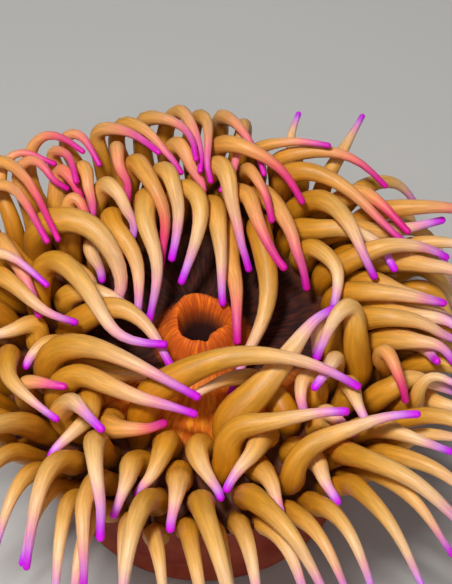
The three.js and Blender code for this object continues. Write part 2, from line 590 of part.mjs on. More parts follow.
function makeColumn() {
  const [low, middle, high] = COLUMN_JOINTS;
  const pocket = THROAT_RADIUS + GAP;
  const pocketFloor = THROAT_BOTTOM - GAP;
  addPiece('pedal_disc', turned([
    [0, 0], [FOOT_RADIUS - 1, 0], [FOOT_RADIUS, 1.2], [FOOT_RADIUS - 1, FOOT_HEIGHT], [0, FOOT_HEIGHT],
  ]), COLOURS.column);
  addPiece('column_lower', turned([
    [0, FOOT_HEIGHT + GAP], ...columnSide(FOOT_HEIGHT + GAP, low), [0, low],
  ]), COLOURS.column);
  addPiece('column_middle', turned([
    [0, low + GAP], ...columnSide(low + GAP, middle), [0, middle],
  ]), COLOURS.column);
  addPiece('column_upper', turned([
    [0, middle + GAP], ...columnSide(middle + GAP, high), [pocket, high],
    [pocket, pocketFloor], [0, pocketFloor],
  ]), COLOURS.column);
  addPiece('margin', turned([
    [pocket, high + GAP], ...columnSide(high + GAP, COLUMN_TOP), [pocket, COLUMN_TOP],
  ]), COLOURS.column);
}

// How the mouth's opening departs from a circle: a rounded triangle, wide on the left.
function mouthStretch(angle) {
  return 1 + 0.12 * Math.cos(angle - Math.PI) + 0.08 * Math.cos(3 * (angle - Math.PI / 3));
}

function makeMouth() {
  const seat = DISC_TOP - 0.6;
  const throatTop = seat - GAP;
  const surface = (radius) => [radius, DISC_TOP + swell(radius)];
  const lips = turned([
    [MOUTH_RADIUS + 0.8, seat], [LIP_FOOT - 0.3, seat], surface(LIP_FOOT), surface(7.6),
    surface(6.6), surface(LIP_RING), [4.7, DISC_TOP + 4], [4, DISC_TOP + 2.8],
    [MOUTH_RADIUS, DISC_TOP + 1.2],
  ], LIP_SIDES);
  addPiece('lips', lips.warp((place) => {
    const radius = Math.hypot(place[0], place[1]);
    const hold = Math.min(Math.max((radius - MOUTH_RADIUS) / (LIP_FOOT - 1 - MOUTH_RADIUS), 0), 1);
    const stretch = 1 + (mouthStretch(Math.atan2(place[1], place[0])) - 1) * (1 - hold);
    place[0] *= stretch;
    place[1] *= stretch;
  }), COLOURS.lips, 0.5);
  addPiece('throat', turned([
    [0, THROAT_BOTTOM], [THROAT_RADIUS - 0.8, THROAT_BOTTOM], [THROAT_RADIUS, THROAT_BOTTOM + 1.5],
    [THROAT_RADIUS, throatTop], [THROAT_BORE + 0.6, throatTop], [THROAT_BORE, throatTop - 3],
    [THROAT_BORE - 0.6, THROAT_BOTTOM + 4], [THROAT_BORE - 2, THROAT_BOTTOM + 2],
    [0, THROAT_BOTTOM + 1.6],
  ], THROAT_SIDES), COLOURS.throat, 0.4);
  addPiece('oral_disc', turned([
    [THROAT_RADIUS + GAP, COLUMN_TOP + GAP], [DISC_EDGE, COLUMN_TOP + GAP], surface(DISC_EDGE),
    surface(17), surface(LIP_FOOT + 1.6), [LIP_FOOT + GAP, throatTop],
    [THROAT_RADIUS + GAP, throatTop],
  ]), COLOURS.disc, 0.5);
}

function makeTentacles() {
  const tentacles = layTentacles();
  settle(tentacles);
  tentacles.forEach((tentacle) => Object.assign(tentacle, { frames: framesAlong(tentacle.line) }));
  const clusters = [];
  let inner = DISC_EDGE + GAP;
  Object.entries(RINGS).forEach(([ring, { slots, radius, rim, share, turn }]) => {
    for (let first = 0; first < slots; first += share) {
      const start = ((first + turn - 0.5) * 2 * Math.PI) / slots;
      const end = start + (share * 2 * Math.PI) / slots;
      const pad = rimPiece(inner, rim, start, end, DISC_TOP + swell(radius));
      const members = tentacles.filter(({ ring: its, slot }) => (
        its === ring && slot >= first && slot < first + share));
      const lengths = members.map((tentacle) => [tentacle, 0, isParted(tentacle) ? PART_ENDS : 1]);
      const shape = lengths.reduce((sum, length) => sum.add(finger(...length)), pad);
      clusters.push({ name: `tentacles_${ring}${first / share + 1}`, shape, lengths });
    }
    inner = rim + GAP;
  });
  const tips = tentacles.filter(isParted).map((tentacle) => {
    const length = [tentacle, 1 - PART_ENDS, 1];
    return { name: `tentacle_${tentacle.name}_tip`, shape: finger(...length), lengths: [length] };
  });
  clearOverlaps([...clusters, ...tips]);
  clusters.forEach(({ name, shape }) => addPiece(name, shape, COLOURS.tentacle));
  tips.forEach(({ name, shape }) => addPiece(name, shape, COLOURS.tip));
}

function isParted({ name }) {
  return PARTED.includes(name);
}

// Cuts each piece back where a tentacle of another piece would touch it.
function clearOverlaps(all) {
  const swollen = all.map(({ lengths }) => lengths.map((length) => finger(...length, GAP)));
  all.forEach((piece, i) => {
    swollen.slice(i + 1).flat().forEach((tentacle) => {
      if (!boxesMeet(piece.shape, tentacle)) return;
      const shared = piece.shape.intersect(tentacle).volume();
      if (shared < SLIVER) return;
      piece.shape = mainBody(piece.shape.subtract(tentacle));
    });
  });
}

function boxesMeet(one, other) {
  const a = one.boundingBox();
  const b = other.boundingBox();
  return [0, 1, 2].every((i) => a.min[i] < b.max[i] && b.min[i] < a.max[i]);
}

// ---------------------------------------------------------------- the model

makeColumn();
makeMouth();
makeTentacles();

const group = new THREE.Group();
pieces.forEach(({ name, shape, colour, roughness }) => {
  const { vertProperties, triVerts } = shape.getMesh();
  const geometry = new THREE.BufferGeometry();
  geometry.setAttribute('position', new THREE.BufferAttribute(vertProperties, 3));
  geometry.setIndex(new THREE.BufferAttribute(triVerts, 1));
  const material = new THREE.MeshStandardMaterial({ color: colour, roughness, metalness: 0 });
  const mesh = new THREE.Mesh(geometry, material);
  mesh.name = name;
  group.add(mesh);
});

export default group;
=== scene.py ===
"""The looks of the sea anemone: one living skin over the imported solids, its colours, the floor, the
lights and the camera. Shapes are worked out in millimetres and laid down in metres."""
import math

import bpy
import numpy as np
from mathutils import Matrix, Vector, geometry


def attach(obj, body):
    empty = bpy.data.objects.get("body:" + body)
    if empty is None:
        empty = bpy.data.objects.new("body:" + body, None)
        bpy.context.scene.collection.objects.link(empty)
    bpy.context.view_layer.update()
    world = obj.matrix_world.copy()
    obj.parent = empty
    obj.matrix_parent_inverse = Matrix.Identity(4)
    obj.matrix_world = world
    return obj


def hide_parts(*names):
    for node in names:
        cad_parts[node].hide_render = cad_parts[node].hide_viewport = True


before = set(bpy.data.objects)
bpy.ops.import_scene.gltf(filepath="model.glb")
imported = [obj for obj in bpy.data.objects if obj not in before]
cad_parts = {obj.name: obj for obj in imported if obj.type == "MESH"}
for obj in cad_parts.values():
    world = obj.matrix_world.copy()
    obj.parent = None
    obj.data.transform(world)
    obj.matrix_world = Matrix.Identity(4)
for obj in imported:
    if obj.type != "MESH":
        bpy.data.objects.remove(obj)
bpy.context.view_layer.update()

MM = 0.001
TAU = 2 * math.pi

# ---- sizes shared with the solids

FOOT_RADIUS = 32
FOOT_HEIGHT = 3
FOOT_SPREAD = 1.5
WAIST_RADIUS = 27
WAIST_HEIGHT = 18
MARGIN_RADIUS = 42
COLUMN_TOP = 41
FLARING = 2  # the higher, the later the column widens to its margin
DISC_TOP = 46
DISC_DIP = 1.2
DIP_RADIUS = 15
DIP_WIDTH = 6
FALL_START = 27
FALL = 0.016
LIP_RING = 5.6
LIP_HEIGHT = 4.6
LIP_WIDTH = 2.2

TIP_RADIUS = 0.72  # at most
TIP_SHARE = 0.25  # of a tentacle's base radius, where that is less
TAPER = 1.8
NECKING = 0.42  # how much narrower a tentacle is where it leaves the disc
NECK_ENDS = 0.26
SUNK = 1  # how deep in the disc a centre line starts
STRAIGHT = 3  # how far it rises before it bends

# A tentacle without a pose, in shares of its length.
RISE = 0.33
TO_CREST = 0.27
TO_TIP = 0.264
LIFT = 0.126
DROOP = 0.18
STREAM = np.array([0.22, -0.06, 0.0])  # the water's pull
FORWARD = np.array([0.15, -0.95, 0.0])  # where those at the back arch to

# How the tentacles are settled.
POINTS = 25  # places along each centre line
PIECES = 16  # of a curve between two places that it passes through
CLEARANCE = 0.9
DISC_CLEARANCE = 0.4
RIM_CLEARANCE = 0.5
FLOOR_CLEARANCE = 1
ROUNDS = 60
ROUNDS_PER_SEARCH = 10
SEARCH_REACH = 3
PUSH = 0.7  # share of an overlap that is undone in a round
LONGEST_MOVE = 0.8
STIFFNESS = 0.35  # share of a lost bend that is given back in a round
LOOSE = np.clip((np.arange(POINTS) - 1) / 4, 0, 1)  # how freely each place moves
HELD = 0.25  # places no freer than this stay in the disc
HOLDS = {"A": 0.35, "B": 0.5, "C": 0.7, "D": 0.85}  # how freely a tentacle with a pose moves

SIGHT_ANGLE = math.radians(55)
SIGHT_DISTANCE = 330
TO_EYE = np.array([0, -math.cos(SIGHT_ANGLE), math.sin(SIGHT_ANGLE)])

# Of each ring of tentacles: how many, the radius it stands at, its turn in slots, the base radius,
# the roots' lean, and the length of a tentacle without a pose.
RINGS = {
    "A": {"slots": 28, "radius": 27, "turn": 0, "base": 2.9, "lean": 0.1, "length": 49},
    "B": {"slots": 28, "radius": 31.6, "turn": 0.5, "base": 2.85, "lean": 0.3, "length": 48},
    "C": {"slots": 28, "radius": 36, "turn": 0, "base": 2.65, "lean": 0.55, "length": 45},
    "D": {"slots": 56, "radius": 39.9, "turn": 0.5, "base": 2.25, "lean": 0.6, "length": 38},
}

# How a tentacle lies: the places it passes through after its root, the last one its tip, each as
# [across, up, height] of sighted(). These are the poses of the solids.
POSES = {
    "A0": [[32, 2, 8], [38, 3, 12], [47, 2, 11], [54, -1, 7]],
    "A1": [[34, 8, 9], [42, 8, 12], [51, 6.5, 10]],
    "A2": [[29, 14, 9], [35, 17.5, 12], [43, 17.5, 12], [51, 15, 9]],
    "A3": [[21.5, 18.5, 12], [28, 14, 12], [28.5, 5, 8]],
    "A4": [[23, 20, 9], [28, 22, 12], [34, 19, 12], [40, 13, 8]],
    "A5": [[9.5, 23, 13], [13, 14, 11], [13, 6, 8], [8.5, -4, 3], [6.2, -10.4, 2.5]],
    "A6": [[5, 24, 10], [6.5, 14, 9], [7, 1, 3]],
    "A7": [[2, 27, 14], [4, 20, 13], [5, 14, 10], [4, 7, 5]],
    "A8": [[-3, 30, 17], [0.5, 26.5, 17], [-0.5, 20, 14], [-4.5, 10, 8]],
    "A9": [[-12, 29, 17], [-9, 20, 15], [-8.5, 13, 12], [-11, 3.5, 5]],
    "A10": [[-17, 27, 13], [-13, 18, 12], [-12, 5, 6]],
    "A11": [[-21.5, 19, 8], [-23.2, 17.5, 9], [-23.2, 11, 5]],
    "A12": [[-27, 13, 5], [-24, 10, 6], [-20, 5, 5]],
    "A13": [[-22, 9, 7], [-14, 5, 8], [-12, 1, 5]],
    "A14": [[-24, 4, 6], [-17.5, 7, 11], [-11, 3, 11], [-6, -5.5, 8]],
    "A15": [[-27, -1, 5], [-30, -3, 6], [-36, -6, 5]],
    "A16": [[-19, -8, 6], [-12, -7, 7], [-4, -9, 5]],
    "A17": [[-23, -15, 6], [-27, -20, 8], [-31, -27, 6]],
    "A18": [[-18.5, -19, 6], [-14, -18, 8], [-7, -18.5, 6]],
    "A19": [[-12.5, -12.5, 10], [-5, -7.5, 15], [4, -3.5, 18], [14, -3, 18], [23, -5, 17], [31, -9.5, 14]],
    "A20": [[-7.5, -25.5, 3.5], [-9, -29.5, 5], [-11, -35, 3]],
    "A21": [[0.5, -26, 3.5], [1.5, -30, 5], [3, -36, 3]],
    "A22": [[11, -14, 8], [18, -3, 14], [23.5, 4, 16], [29, 6, 15]],
    "A23": [[8, -22, 6], [6, -27, 8], [5, -33, 6]],
    "A24": [[16.5, -13, 5], [11.5, -8.2, 6.5], [6, -7.8, 9.5], [1.5, -9.5, 11], [-2, -11.5, 10.5]],
    "A25": [[24.5, -9, 8], [22, -6.5, 11], [20.5, -10, 12], [21, -15, 9]],
    "A26": [[27, -8, 6], [27, -4, 11], [25, -6, 14], [21, -9.5, 12]],
    "A27": [[27, 4.5, 12], [24, 3, 13], [24, -2.5, 9]],
    "B0": [[38, 3.5, 7], [47, 2.5, 10], [55, -1.5, 9]],
    "B1": [[37, 8, 6], [45, 7.5, 7], [50, 6.5, 6]],
    "B2": [[33, 15.5, 7], [43, 16, 11], [51, 14, 11], [57, 9.5, 9]],
    "B3": [[29, 21, 6], [38, 21, 6], [49.5, 23.5, 6]],
    "B4": [[24, 26.5, 12], [31, 19.5, 13], [33.5, 13, 10], [34, 7.5, 6]],
    "B5": [[10, 29, 12], [16.5, 24, 14], [20.5, 17.5, 12], [21, 10, 7]],
    "B6": [[7.5, 29.5, 17], [11, 22, 16], [14, 16, 13], [16.5, 14, 13]],
    "B7": [[4, 33, 18], [7.5, 28, 17], [7.5, 18, 11], [7, 10.2, 7]],
    "B8": [[-9, 32, 18], [-6, 27.5, 17], [-6, 20, 13], [-7, 10.5, 7]],
    "B9": [[-12.5, 33, 18], [-9.5, 27, 17], [-8.5, 17, 12], [-8.2, 6.5, 6]],
    "B10": [[-20, 30, 15], [-15, 30.5, 18], [-13.5, 25, 15], [-15, 17, 9]],
    "B11": [[-27, 21, 11], [-27.8, 27, 15.5], [-25, 27.5, 16], [-22.2, 21.4, 12]],
    "B12": [[-42, 20, 9], [-38, 16, 12], [-35, 10, 10], [-34, 5, 8]],
    "B13": [[-35, 13, 8], [-31, 17, 14], [-24, 11, 15], [-19, 2, 13], [-9.5, -0.5, 11]],
    "B14": [[-33, 3, 6], [-38, 2, 7], [-44, -1, 5]],
    "B15": [[-29, -3, 10], [-22, -1.5, 16], [-12, -5, 18], [1, -12, 15]],
    "B16": [[-21, -11, 8], [-11, -12, 13], [-2, -14, 13], [4.5, -16.8, 11]],
    "B17": [[-24, -12.5, 14], [-22, -15, 19], [-17.5, -19.5, 18]],
    "B19": [[-12, -27, 6], [-14, -31, 9], [-16, -37, 5]],
    "B20": [[-4, -28, 6], [-5, -33, 9], [-6, -39, 5]],
    "B21": [[7, -19.5, 8], [17.5, -16, 14], [25.5, -14, 17], [32, -14, 17]],
    "B22": [[14, -24, 6], [15, -29, 8], [16, -35, 6]],
    "B23": [[22, -24, 5], [25, -28, 6], [29, -33, 4]],
    "B24": [[25, -14, 8], [28.5, -17, 10], [30.5, -19, 8]],
    "B25": [[29, -8, 9], [31.5, -12.5, 12], [34, -16.5, 10]],
    "B26": [[31, -1, 10], [30.5, 7, 16], [27, 5, 18], [24, -4.5, 11]],
    "B27": [[36, -1, 7], [42.5, 1, 11], [48, -1, 11], [50.5, -4.5, 9]],
    "C0": [[42, -1, 4], [46, -3, 7], [47.5, -4.5, 11]],
    "C1": [[41, 6, 3], [47, 5, 3], [53, 1, 0]],
    "C2": [[40, 17.5, 7], [46, 19, 9], [56, 18, 8]],
    "C3": [[34, 23.5, 7], [43, 25.5, 10], [51, 25.5, 10], [59, 23, 8]],
    "C4": [[26, 26, 8], [31, 29, 12], [36, 26, 13], [41, 20, 10]],
    "C5": [[16, 33, 14], [22, 33.5, 16], [30.5, 28.5, 15], [39.5, 17.5, 8]],
    "C6": [[9, 33, 18], [11, 28, 18], [13.5, 21.5, 14]],
    "C7": [[4, 38, 20], [11.5, 36.5, 21], [17, 32.5, 18], [20.5, 26, 14]],
    "C8": [[-5.5, 38.5, 19], [-2.3, 32, 18], [-3.2, 22.8, 13]],
    "C9": [[-16, 37.5, 19], [-12.5, 31, 18], [-12, 24.2, 14]],
    "C10": [[-25, 34, 16], [-21.5, 31, 16], [-21, 22.4, 11]],
    "C11": [[-30, 33, 15], [-26.5, 32.5, 17], [-23.4, 26.8, 14]],
    "C12": [[-34, 18, 9], [-31, 23, 14], [-25.5, 24.3, 15.5], [-19.8, 22.8, 15.5], [-16.2, 18.2, 13.5],
        [-15.4, 13, 10], [-17.2, 8.5, 7], [-21, 6, 5], [-28, 5.5, 3.5]],
    "C13": [[-41, 13, 8], [-38.5, 13.5, 13], [-32, 6, 13], [-25, 3.2, 11]],
    "C15": [[-37, -3.5, 7], [-38, -8, 12], [-32, -13, 13], [-26.5, -16, 11]],
    "C16": [[-35.5, -11, 6], [-35, -8.5, 9], [-30, -9, 10], [-25.5, -10, 9]],
    "C23": [[22, -20.5, 9], [31.5, -17.5, 14], [40, -14.5, 17], [46.5, -14.5, 17]],
    "C25": [[36, -18, 8], [44, -20, 11], [51, -22.5, 9]],
    "C26": [[39, -10, 5], [46, -9.5, 7], [55, -12, 6]],
    "C27": [[34, -6, 8], [36, -1.5, 14.5], [40, -8, 13.5], [41, -12, 10]],
    "D0": [[45, 0, 1], [50, -3, -5], [52, -9, -13]],
    "D1": [[45, 4, 1], [50, 1, -5], [52, -6, -13]],
    "D2": [[44, 7, 1], [49, 3, -5], [51, -3, -13]],
    "D3": [[44, 12, 2], [49, 9, -4], [51, 3, -12]],
    "D4": [[42, 17, 2], [48, 13, -3], [51, 6, -10]],
    "D5": [[41, 21, 3], [46, 19, -2], [49, 13, -9]],
    "D6": [[38, 25, 2], [42, 22, -4], [44, 16, -12]],
    "D7": [[33, 30, 4], [39, 30, 0], [43, 25, -8]],
    "D8": [[25, 32, 9], [28, 37, 12], [32, 44, 11]],
    "D9": [[17, 35, 10], [16.5, 38, 13], [19, 44, 13]],
    "D10": [[16, 35, 13], [23, 37.5, 16], [31, 35.5, 15], [37, 29.5, 10]],
    "D11": [[11, 37, 14], [18, 38.5, 17], [26.5, 37.5, 17]],
    "D12": [[7.9, 40, 10], [8, 43, 14], [6.5, 40, 19], [4.6, 29.6, 16]],
    "D13": [[3.9, 40.2, 8.1], [4, 43.5, 15], [8.5, 40, 20], [12.8, 30.6, 16]],
    "D14": [[-3, 38.7, 8.6], [-1.5, 44, 15], [1.5, 40, 20], [2.4, 29, 17]],
    "D15": [[-8.9, 39.1, 8.3], [-5, 45, 15], [-1.5, 42, 20], [1.6, 33, 18]],
    "D16": [[-11.6, 38.1, 6.9], [-11.5, 43.5, 15], [-4.5, 41, 20], [-1.5, 32, 18]],
    "D17": [[-17.9, 35.4, 6.3], [-17, 42, 14], [-12, 42, 19], [-7, 38, 20], [-4, 33.2, 18]],
    "D18": [[-20.1, 35.1, 8.4], [-21.5, 41, 14], [-16, 41, 19], [-12, 38, 19], [-9.4, 33.4, 17]],
    "D19": [[-22.8, 31.9, 6], [-28, 38.5, 13], [-24.5, 40.5, 18], [-20.8, 33.8, 16]],
    "D20": [[-28.1, 31.5, 8.7], [-30.5, 36, 14], [-26, 36, 18], [-22.6, 29.4, 16]],
    "D21": [[-33.7, 27.2, 6.1], [-35, 36, 13], [-30.5, 40, 18], [-23.6, 35, 17]],
    "D22": [[-34.4, 25.7, 7.9], [-38, 33, 13], [-33.5, 36.5, 17], [-27.4, 30.6, 15]],
    "D23": [[-37.9, 23.2, 9], [-41.5, 31, 13], [-37.5, 37, 16], [-29.4, 34.6, 15]],
    "D24": [[-40.1, 16.2, 5.8], [-44, 29, 13], [-40.4, 36, 16.5],
        [-34.4, 31.4, 19], [-31.4, 25.4, 19.5], [-28.2, 18.9, 18.5]],
    "D25": [[-41.9, 14, 7.5], [-46.5, 22, 12], [-43.5, 30, 15.5],
        [-38, 30.5, 18.5], [-34.4, 25.2, 19], [-31, 19.6, 18]],
    "D26": [[-45.1, 11.7, 9], [-47, 21, 10], [-45, 29.5, 12], [-37.6, 30.2, 12]],
    "D27": [[-45.2, 5, 7.3], [-46, 15, 14], [-39, 17, 17], [-30.5, 10.4, 15]],
    "D50": [[44, -17, 8], [50, -18.5, 8], [56, -21, 6]],
    "D52": [[42, -9.5, 9], [46.5, -6.5, 12], [53, -10, 11]],
    "D53": [[44, -13, 5], [50, -13.5, 6], [57, -17, 3]],
    "D54": [[43.5, -3.2, 4], [49.5, -4.5, 6], [56.5, -9, 5], [60, -13, 2]],
}

GIRTHS = {"A22": 1.3, "A19": 1.08, "C12": 1.25, "B26": 1.08, "B15": 1.05}  # some are stouter

# ---- the tentacles' centre lines


def swell(radius):
    """Height of the disc's surface over DISC_TOP at a radius."""
    lips = LIP_HEIGHT * np.exp(-(((radius - LIP_RING) / LIP_WIDTH) ** 2))
    dip = DISC_DIP * np.exp(-(((radius - DIP_RADIUS) / DIP_WIDTH) ** 2))
    fall = FALL * np.maximum(0, radius - FALL_START) ** 2
    return lips - dip - fall


def chance(number, salt):
    """A fixed number from 0 to 1 for each pair of numbers."""
    mixed = math.sin(number * 12.9898 + salt * 78.233) * 43758.5453
    return mixed - math.floor(mixed)


def sighted(across, up, height):
    """The place that shows `across` and `up` from the mouth, at a height over the disc."""
    s, c, reach = math.sin(SIGHT_ANGLE), math.cos(SIGHT_ANGLE), SIGHT_DISTANCE
    y = (up * (reach - height * s) - reach * height * c) / (reach * s - up * c)
    nearer = height * s - y * c
    return np.array([across * (reach - nearer) / reach, y, DISC_TOP + height])


def root_of(ring, slot):
    facts = RINGS[ring]
    angle = TAU * (slot + facts["turn"]) / facts["slots"]
    outward = np.array([math.cos(angle), math.sin(angle), 0.0])
    root = outward * facts["radius"]
    root[2] = DISC_TOP + swell(facts["radius"])
    aim = outward * facts["lean"] + np.array([0, 0, 1.0])
    return root, aim / np.linalg.norm(aim), outward


def drift(ring, stance, number):
    """The path of a tentacle without a pose."""
    root, aim, outward = stance
    length, lean = RINGS[ring]["length"], RINGS[ring]["lean"]
    long = length * (0.85 + 0.3 * chance(number, 1))
    swing = 0.54 * (chance(number, 2) - 0.5)
    lift = LIFT * (0.9 + 0.5 * chance(number, 3) - 0.5 * lean)
    forward = math.sqrt(max(0, outward[1])) * (0.55 + 0.45 * chance(number, 4))
    go = outward * (0.75 + 0.3 * lean) * (1 - forward) + STREAM
    go = go + np.array([-outward[1], outward[0], 0]) * swing + FORWARD * forward
    rise = root + aim * long * RISE + np.array([0, 0, 3 * forward])
    crest = rise + go * long * TO_CREST + np.array([0, 0, long * lift])
    tip = crest + go * long * TO_TIP - np.array([0, 0, long * DROOP])
    return [rise, crest, tip]


def even_line(places, count):
    steps = np.linalg.norm(np.diff(places, axis=0), axis=1)
    along = np.append(0, np.cumsum(steps))
    wanted = np.linspace(0, along[-1], count)
    return np.stack([np.interp(wanted, along, places[:, axis]) for axis in range(3)], 1)


def curve_through(places):
    """A smooth curve through the places (uniform Catmull-Rom)."""
    control = np.array([2 * places[0] - places[1], *places, 2 * places[-1] - places[-2]])
    count = (len(places) - 1) * PIECES
    return spline_at(control, np.arange(count + 1) / PIECES)


def spline_at(control, at):
    """Catmull-Rom points at `at` (0 is control point 1) through control points with two extra ends."""
    i = np.minimum(at.astype(int), len(control) - 4)
    t = (at - i).reshape((-1,) + (1,) * (control.ndim - 1))
    a, b, c, d = control[i], control[i + 1], control[i + 2], control[i + 3]
    return 0.5 * (2 * b + (c - a) * t + (2 * a - 5 * b + 4 * c - d) * t**2
                  + (3 * b - a - 3 * c + d) * t**3)


def thickness(base, share):
    tip = np.minimum(TIP_RADIUS, TIP_SHARE * base)
    taper = tip + (base - tip) * (1 - share**2) ** TAPER
    return taper * (1 - NECKING * np.maximum(0, 1 - share / NECK_ENDS) ** 2)


def lay_tentacles():
    """Names, centre lines and bases of all tentacles, before they settle."""
    names, lines, bases = [], [], []
    for ring, facts in RINGS.items():
        for slot in range(facts["slots"]):
            name = f"{ring}{slot}"
            number = len(names) + 1
            stance = root_of(ring, slot)
            root, aim, _ = stance
            if name in POSES:
                way = [sighted(*place) for place in POSES[name]]
            else:
                way = drift(ring, stance, number)
            line = even_line(curve_through([root - SUNK * aim, root + STRAIGHT * aim, *way]), POINTS)
            for _ in range(4):
                line[1:-1] = (2 * line[1:-1] + line[:-2] + line[2:]) / 4
            names.append(name)
            lines.append(even_line(line, POINTS))
            bases.append(facts["base"] * (0.97 + 0.06 * chance(number, 5)) * GIRTHS.get(name, 1))
    return names, np.array(lines), np.array(bases)


def settle(names, lines, radii):
    """Moves the tentacles apart until none touches another, the disc, the rim or the floor."""
    count = len(lines)
    yields = np.array([HOLDS[name[0]] if name in POSES else 1 for name in names])
    bends = lines[:, :-2] + lines[:, 2:] - 2 * lines[:, 1:-1]
    steps = np.linalg.norm(np.diff(lines, axis=1), axis=2).sum(1) / (POINTS - 1)
    owner = np.repeat(np.arange(count), POINTS)
    radius, loose = radii.reshape(-1), (yields[:, None] * LOOSE).reshape(-1)
    for turn in range(ROUNDS):
        if turn % ROUNDS_PER_SEARCH == 0:
            pairs = neighbours(lines.reshape(-1, 3), radius, owner)
        places = push_apart(lines.reshape(-1, 3), radius, loose, pairs)
        keep_off(places, radius, np.tile(LOOSE, count) > HELD)
        lines = places.reshape(count, POINTS, 3)
        middle = (lines[:, :-2] + lines[:, 2:] - bends) / 2
        lines[:, 1:-1] += STIFFNESS * LOOSE[1:-1, None] * (middle - lines[:, 1:-1])
        for i in range(2, POINTS):
            ahead = lines[:, i] - lines[:, i - 1]
            ahead *= (steps / np.linalg.norm(ahead, axis=1))[:, None]
            lines[:, i] = lines[:, i - 1] + ahead
    return lines


def neighbours(places, radius, owner):
    found = []
    for start in range(0, len(places), 256):
        block = slice(start, start + 256)
        square = ((places[block, None] - places) ** 2).sum(2)
        reach = radius[block, None] + radius + CLEARANCE + SEARCH_REACH
        one, other = np.nonzero((square < reach**2) & (owner[block, None] < owner))
        found.append(np.stack([one + start, other]))
    return np.concatenate(found, 1)


def push_apart(places, radius, loose, pairs):
    one, other = pairs
    apart = places[one] - places[other]
    distance = np.maximum(np.linalg.norm(apart, axis=1), 1e-6)
    lack = np.maximum(radius[one] + radius[other] + CLEARANCE - distance, 0)
    both = np.maximum(loose[one] + loose[other], 1e-6)
    push = apart * (lack * PUSH / distance / both)[:, None]
    total = np.stack([
        np.bincount(one, push[:, axis] * loose[one], len(places))
        - np.bincount(other, push[:, axis] * loose[other], len(places)) for axis in range(3)], 1)
    size = np.linalg.norm(total, axis=1)
    free = np.tile(LOOSE, len(places) // POINTS)
    return places + total * (free * np.minimum(1, LONGEST_MOVE / np.maximum(size, 1e-9)))[:, None]


def keep_off(places, radius, held):
    """Lifts places off the disc, out past the rim, and off the floor."""
    out = np.hypot(places[:, 0], places[:, 1])
    over = held & (out < MARGIN_RADIUS)
    low = DISC_TOP + swell(out) + radius + DISC_CLEARANCE
    lift = np.maximum(low - places[:, 2], 0) * 0.5
    beside = held & ~over & (places[:, 2] < DISC_TOP)
    grow = np.maximum(MARGIN_RADIUS + RIM_CLEARANCE + radius - out, 0) / out * 0.5
    places[over, 2] += lift[over]
    places[beside, :2] *= 1 + grow[beside, None]
    places[held, 2] = np.maximum(places[held, 2], radius[held] + FLOOR_CLEARANCE)


# ---- building one skin


def add_object(name, data):
    thing = bpy.data.objects.new(name, data)
    bpy.context.scene.collection.objects.link(thing)
    return thing


class Skin:
    """Gathers the places, faces and markings of the one skin."""

    def __init__(self):
        self.places, self.marks, self.count = [], [], 0
        self.quads, self.quad_maps = [], []
        self.tris, self.tri_maps = [], []

    def add_places(self, places, **marks):
        """Adds places in mm, each with its markings, and returns their numbers."""
        places = np.asarray(places, float)
        numbers = self.count + np.arange(places.size // 3).reshape(places.shape[:-1])
        table = np.zeros((numbers.size, len(MARKS)))
        for i, mark in enumerate(MARKS):
            table[:, i] = marks.get(mark, 0)
        self.places.append(places.reshape(-1, 3))
        self.marks.append(table)
        self.count += numbers.size
        return numbers

    def add_grid(self, numbers, map_of):
        """Faces between the rows of a grid of places that closes round on itself. map_of gives a
        place on the skin's map for a row and a column, the last column being the first again."""
        rows, columns = numbers.shape
        row, column = np.meshgrid(np.arange(rows - 1), np.arange(columns), indexing="ij")
        row, column = row.ravel(), column.ravel()
        corners = [(row, column), (row, column + 1), (row + 1, column + 1), (row + 1, column)]
        self.quads.append(np.stack([numbers[r, c % columns] for r, c in corners], 1))
        self.quad_maps.append(np.stack([map_of(r, c) for r, c in corners], 1))

    def add_cap(self, ring, centre, ring_map, centre_map):
        """Closes a ring of places with a fan. ring_map has one more row than the ring."""
        middle = np.broadcast_to(centre_map, (len(ring), 2))
        self.add_triangles(np.stack([ring, np.roll(ring, -1), np.full(len(ring), centre)], 1),
                           np.stack([ring_map[:-1], ring_map[1:], middle], 1))

    def add_triangles(self, numbers, maps):
        self.tris.append(numbers)
        self.tri_maps.append(maps)

    def build(self, name):
        places = np.concatenate(self.places) * MM
        quads, tris = sum(map(len, self.quads)), sum(map(len, self.tris))
        corners = np.concatenate([part.ravel() for part in self.quads + self.tris])
        maps = np.concatenate([part.reshape(-1, 2) for part in self.quad_maps + self.tri_maps])
        starts = np.append(np.arange(quads) * 4, quads * 4 + np.arange(tris) * 3)
        mesh = bpy.data.meshes.new(name)
        mesh.vertices.add(len(places))
        mesh.vertices.foreach_set("co", places.ravel())
        mesh.loops.add(len(corners))
        mesh.loops.foreach_set("vertex_index", corners.astype(np.int32))
        mesh.polygons.add(len(starts))
        mesh.polygons.foreach_set("loop_start", starts.astype(np.int32))
        layer = mesh.uv_layers.new(name="OFBake")
        layer.uv.foreach_set("vector", maps.astype(np.float32).ravel())
        table = np.concatenate(self.marks)
        for i, mark in enumerate(MARKS):
            attribute = mesh.attributes.new(mark, "FLOAT", "POINT")
            attribute.data.foreach_set("value", table[:, i].astype(np.float32))
        mesh.update(calc_edges=True)
        mesh.validate(verbose=True)
        mesh.shade_smooth()
        return add_object(name, mesh)


# What each place of the skin is marked with: its share of a tentacle's length, how far it is tentacle
# and not disc, the tentacle's own tint and warmth, the cosine and sine of its place round the
# tentacle, the length from the root in mm, and how far it is column.
MARKS = ("share", "finger", "tint", "warmth", "round_x", "round_y", "reach", "column")

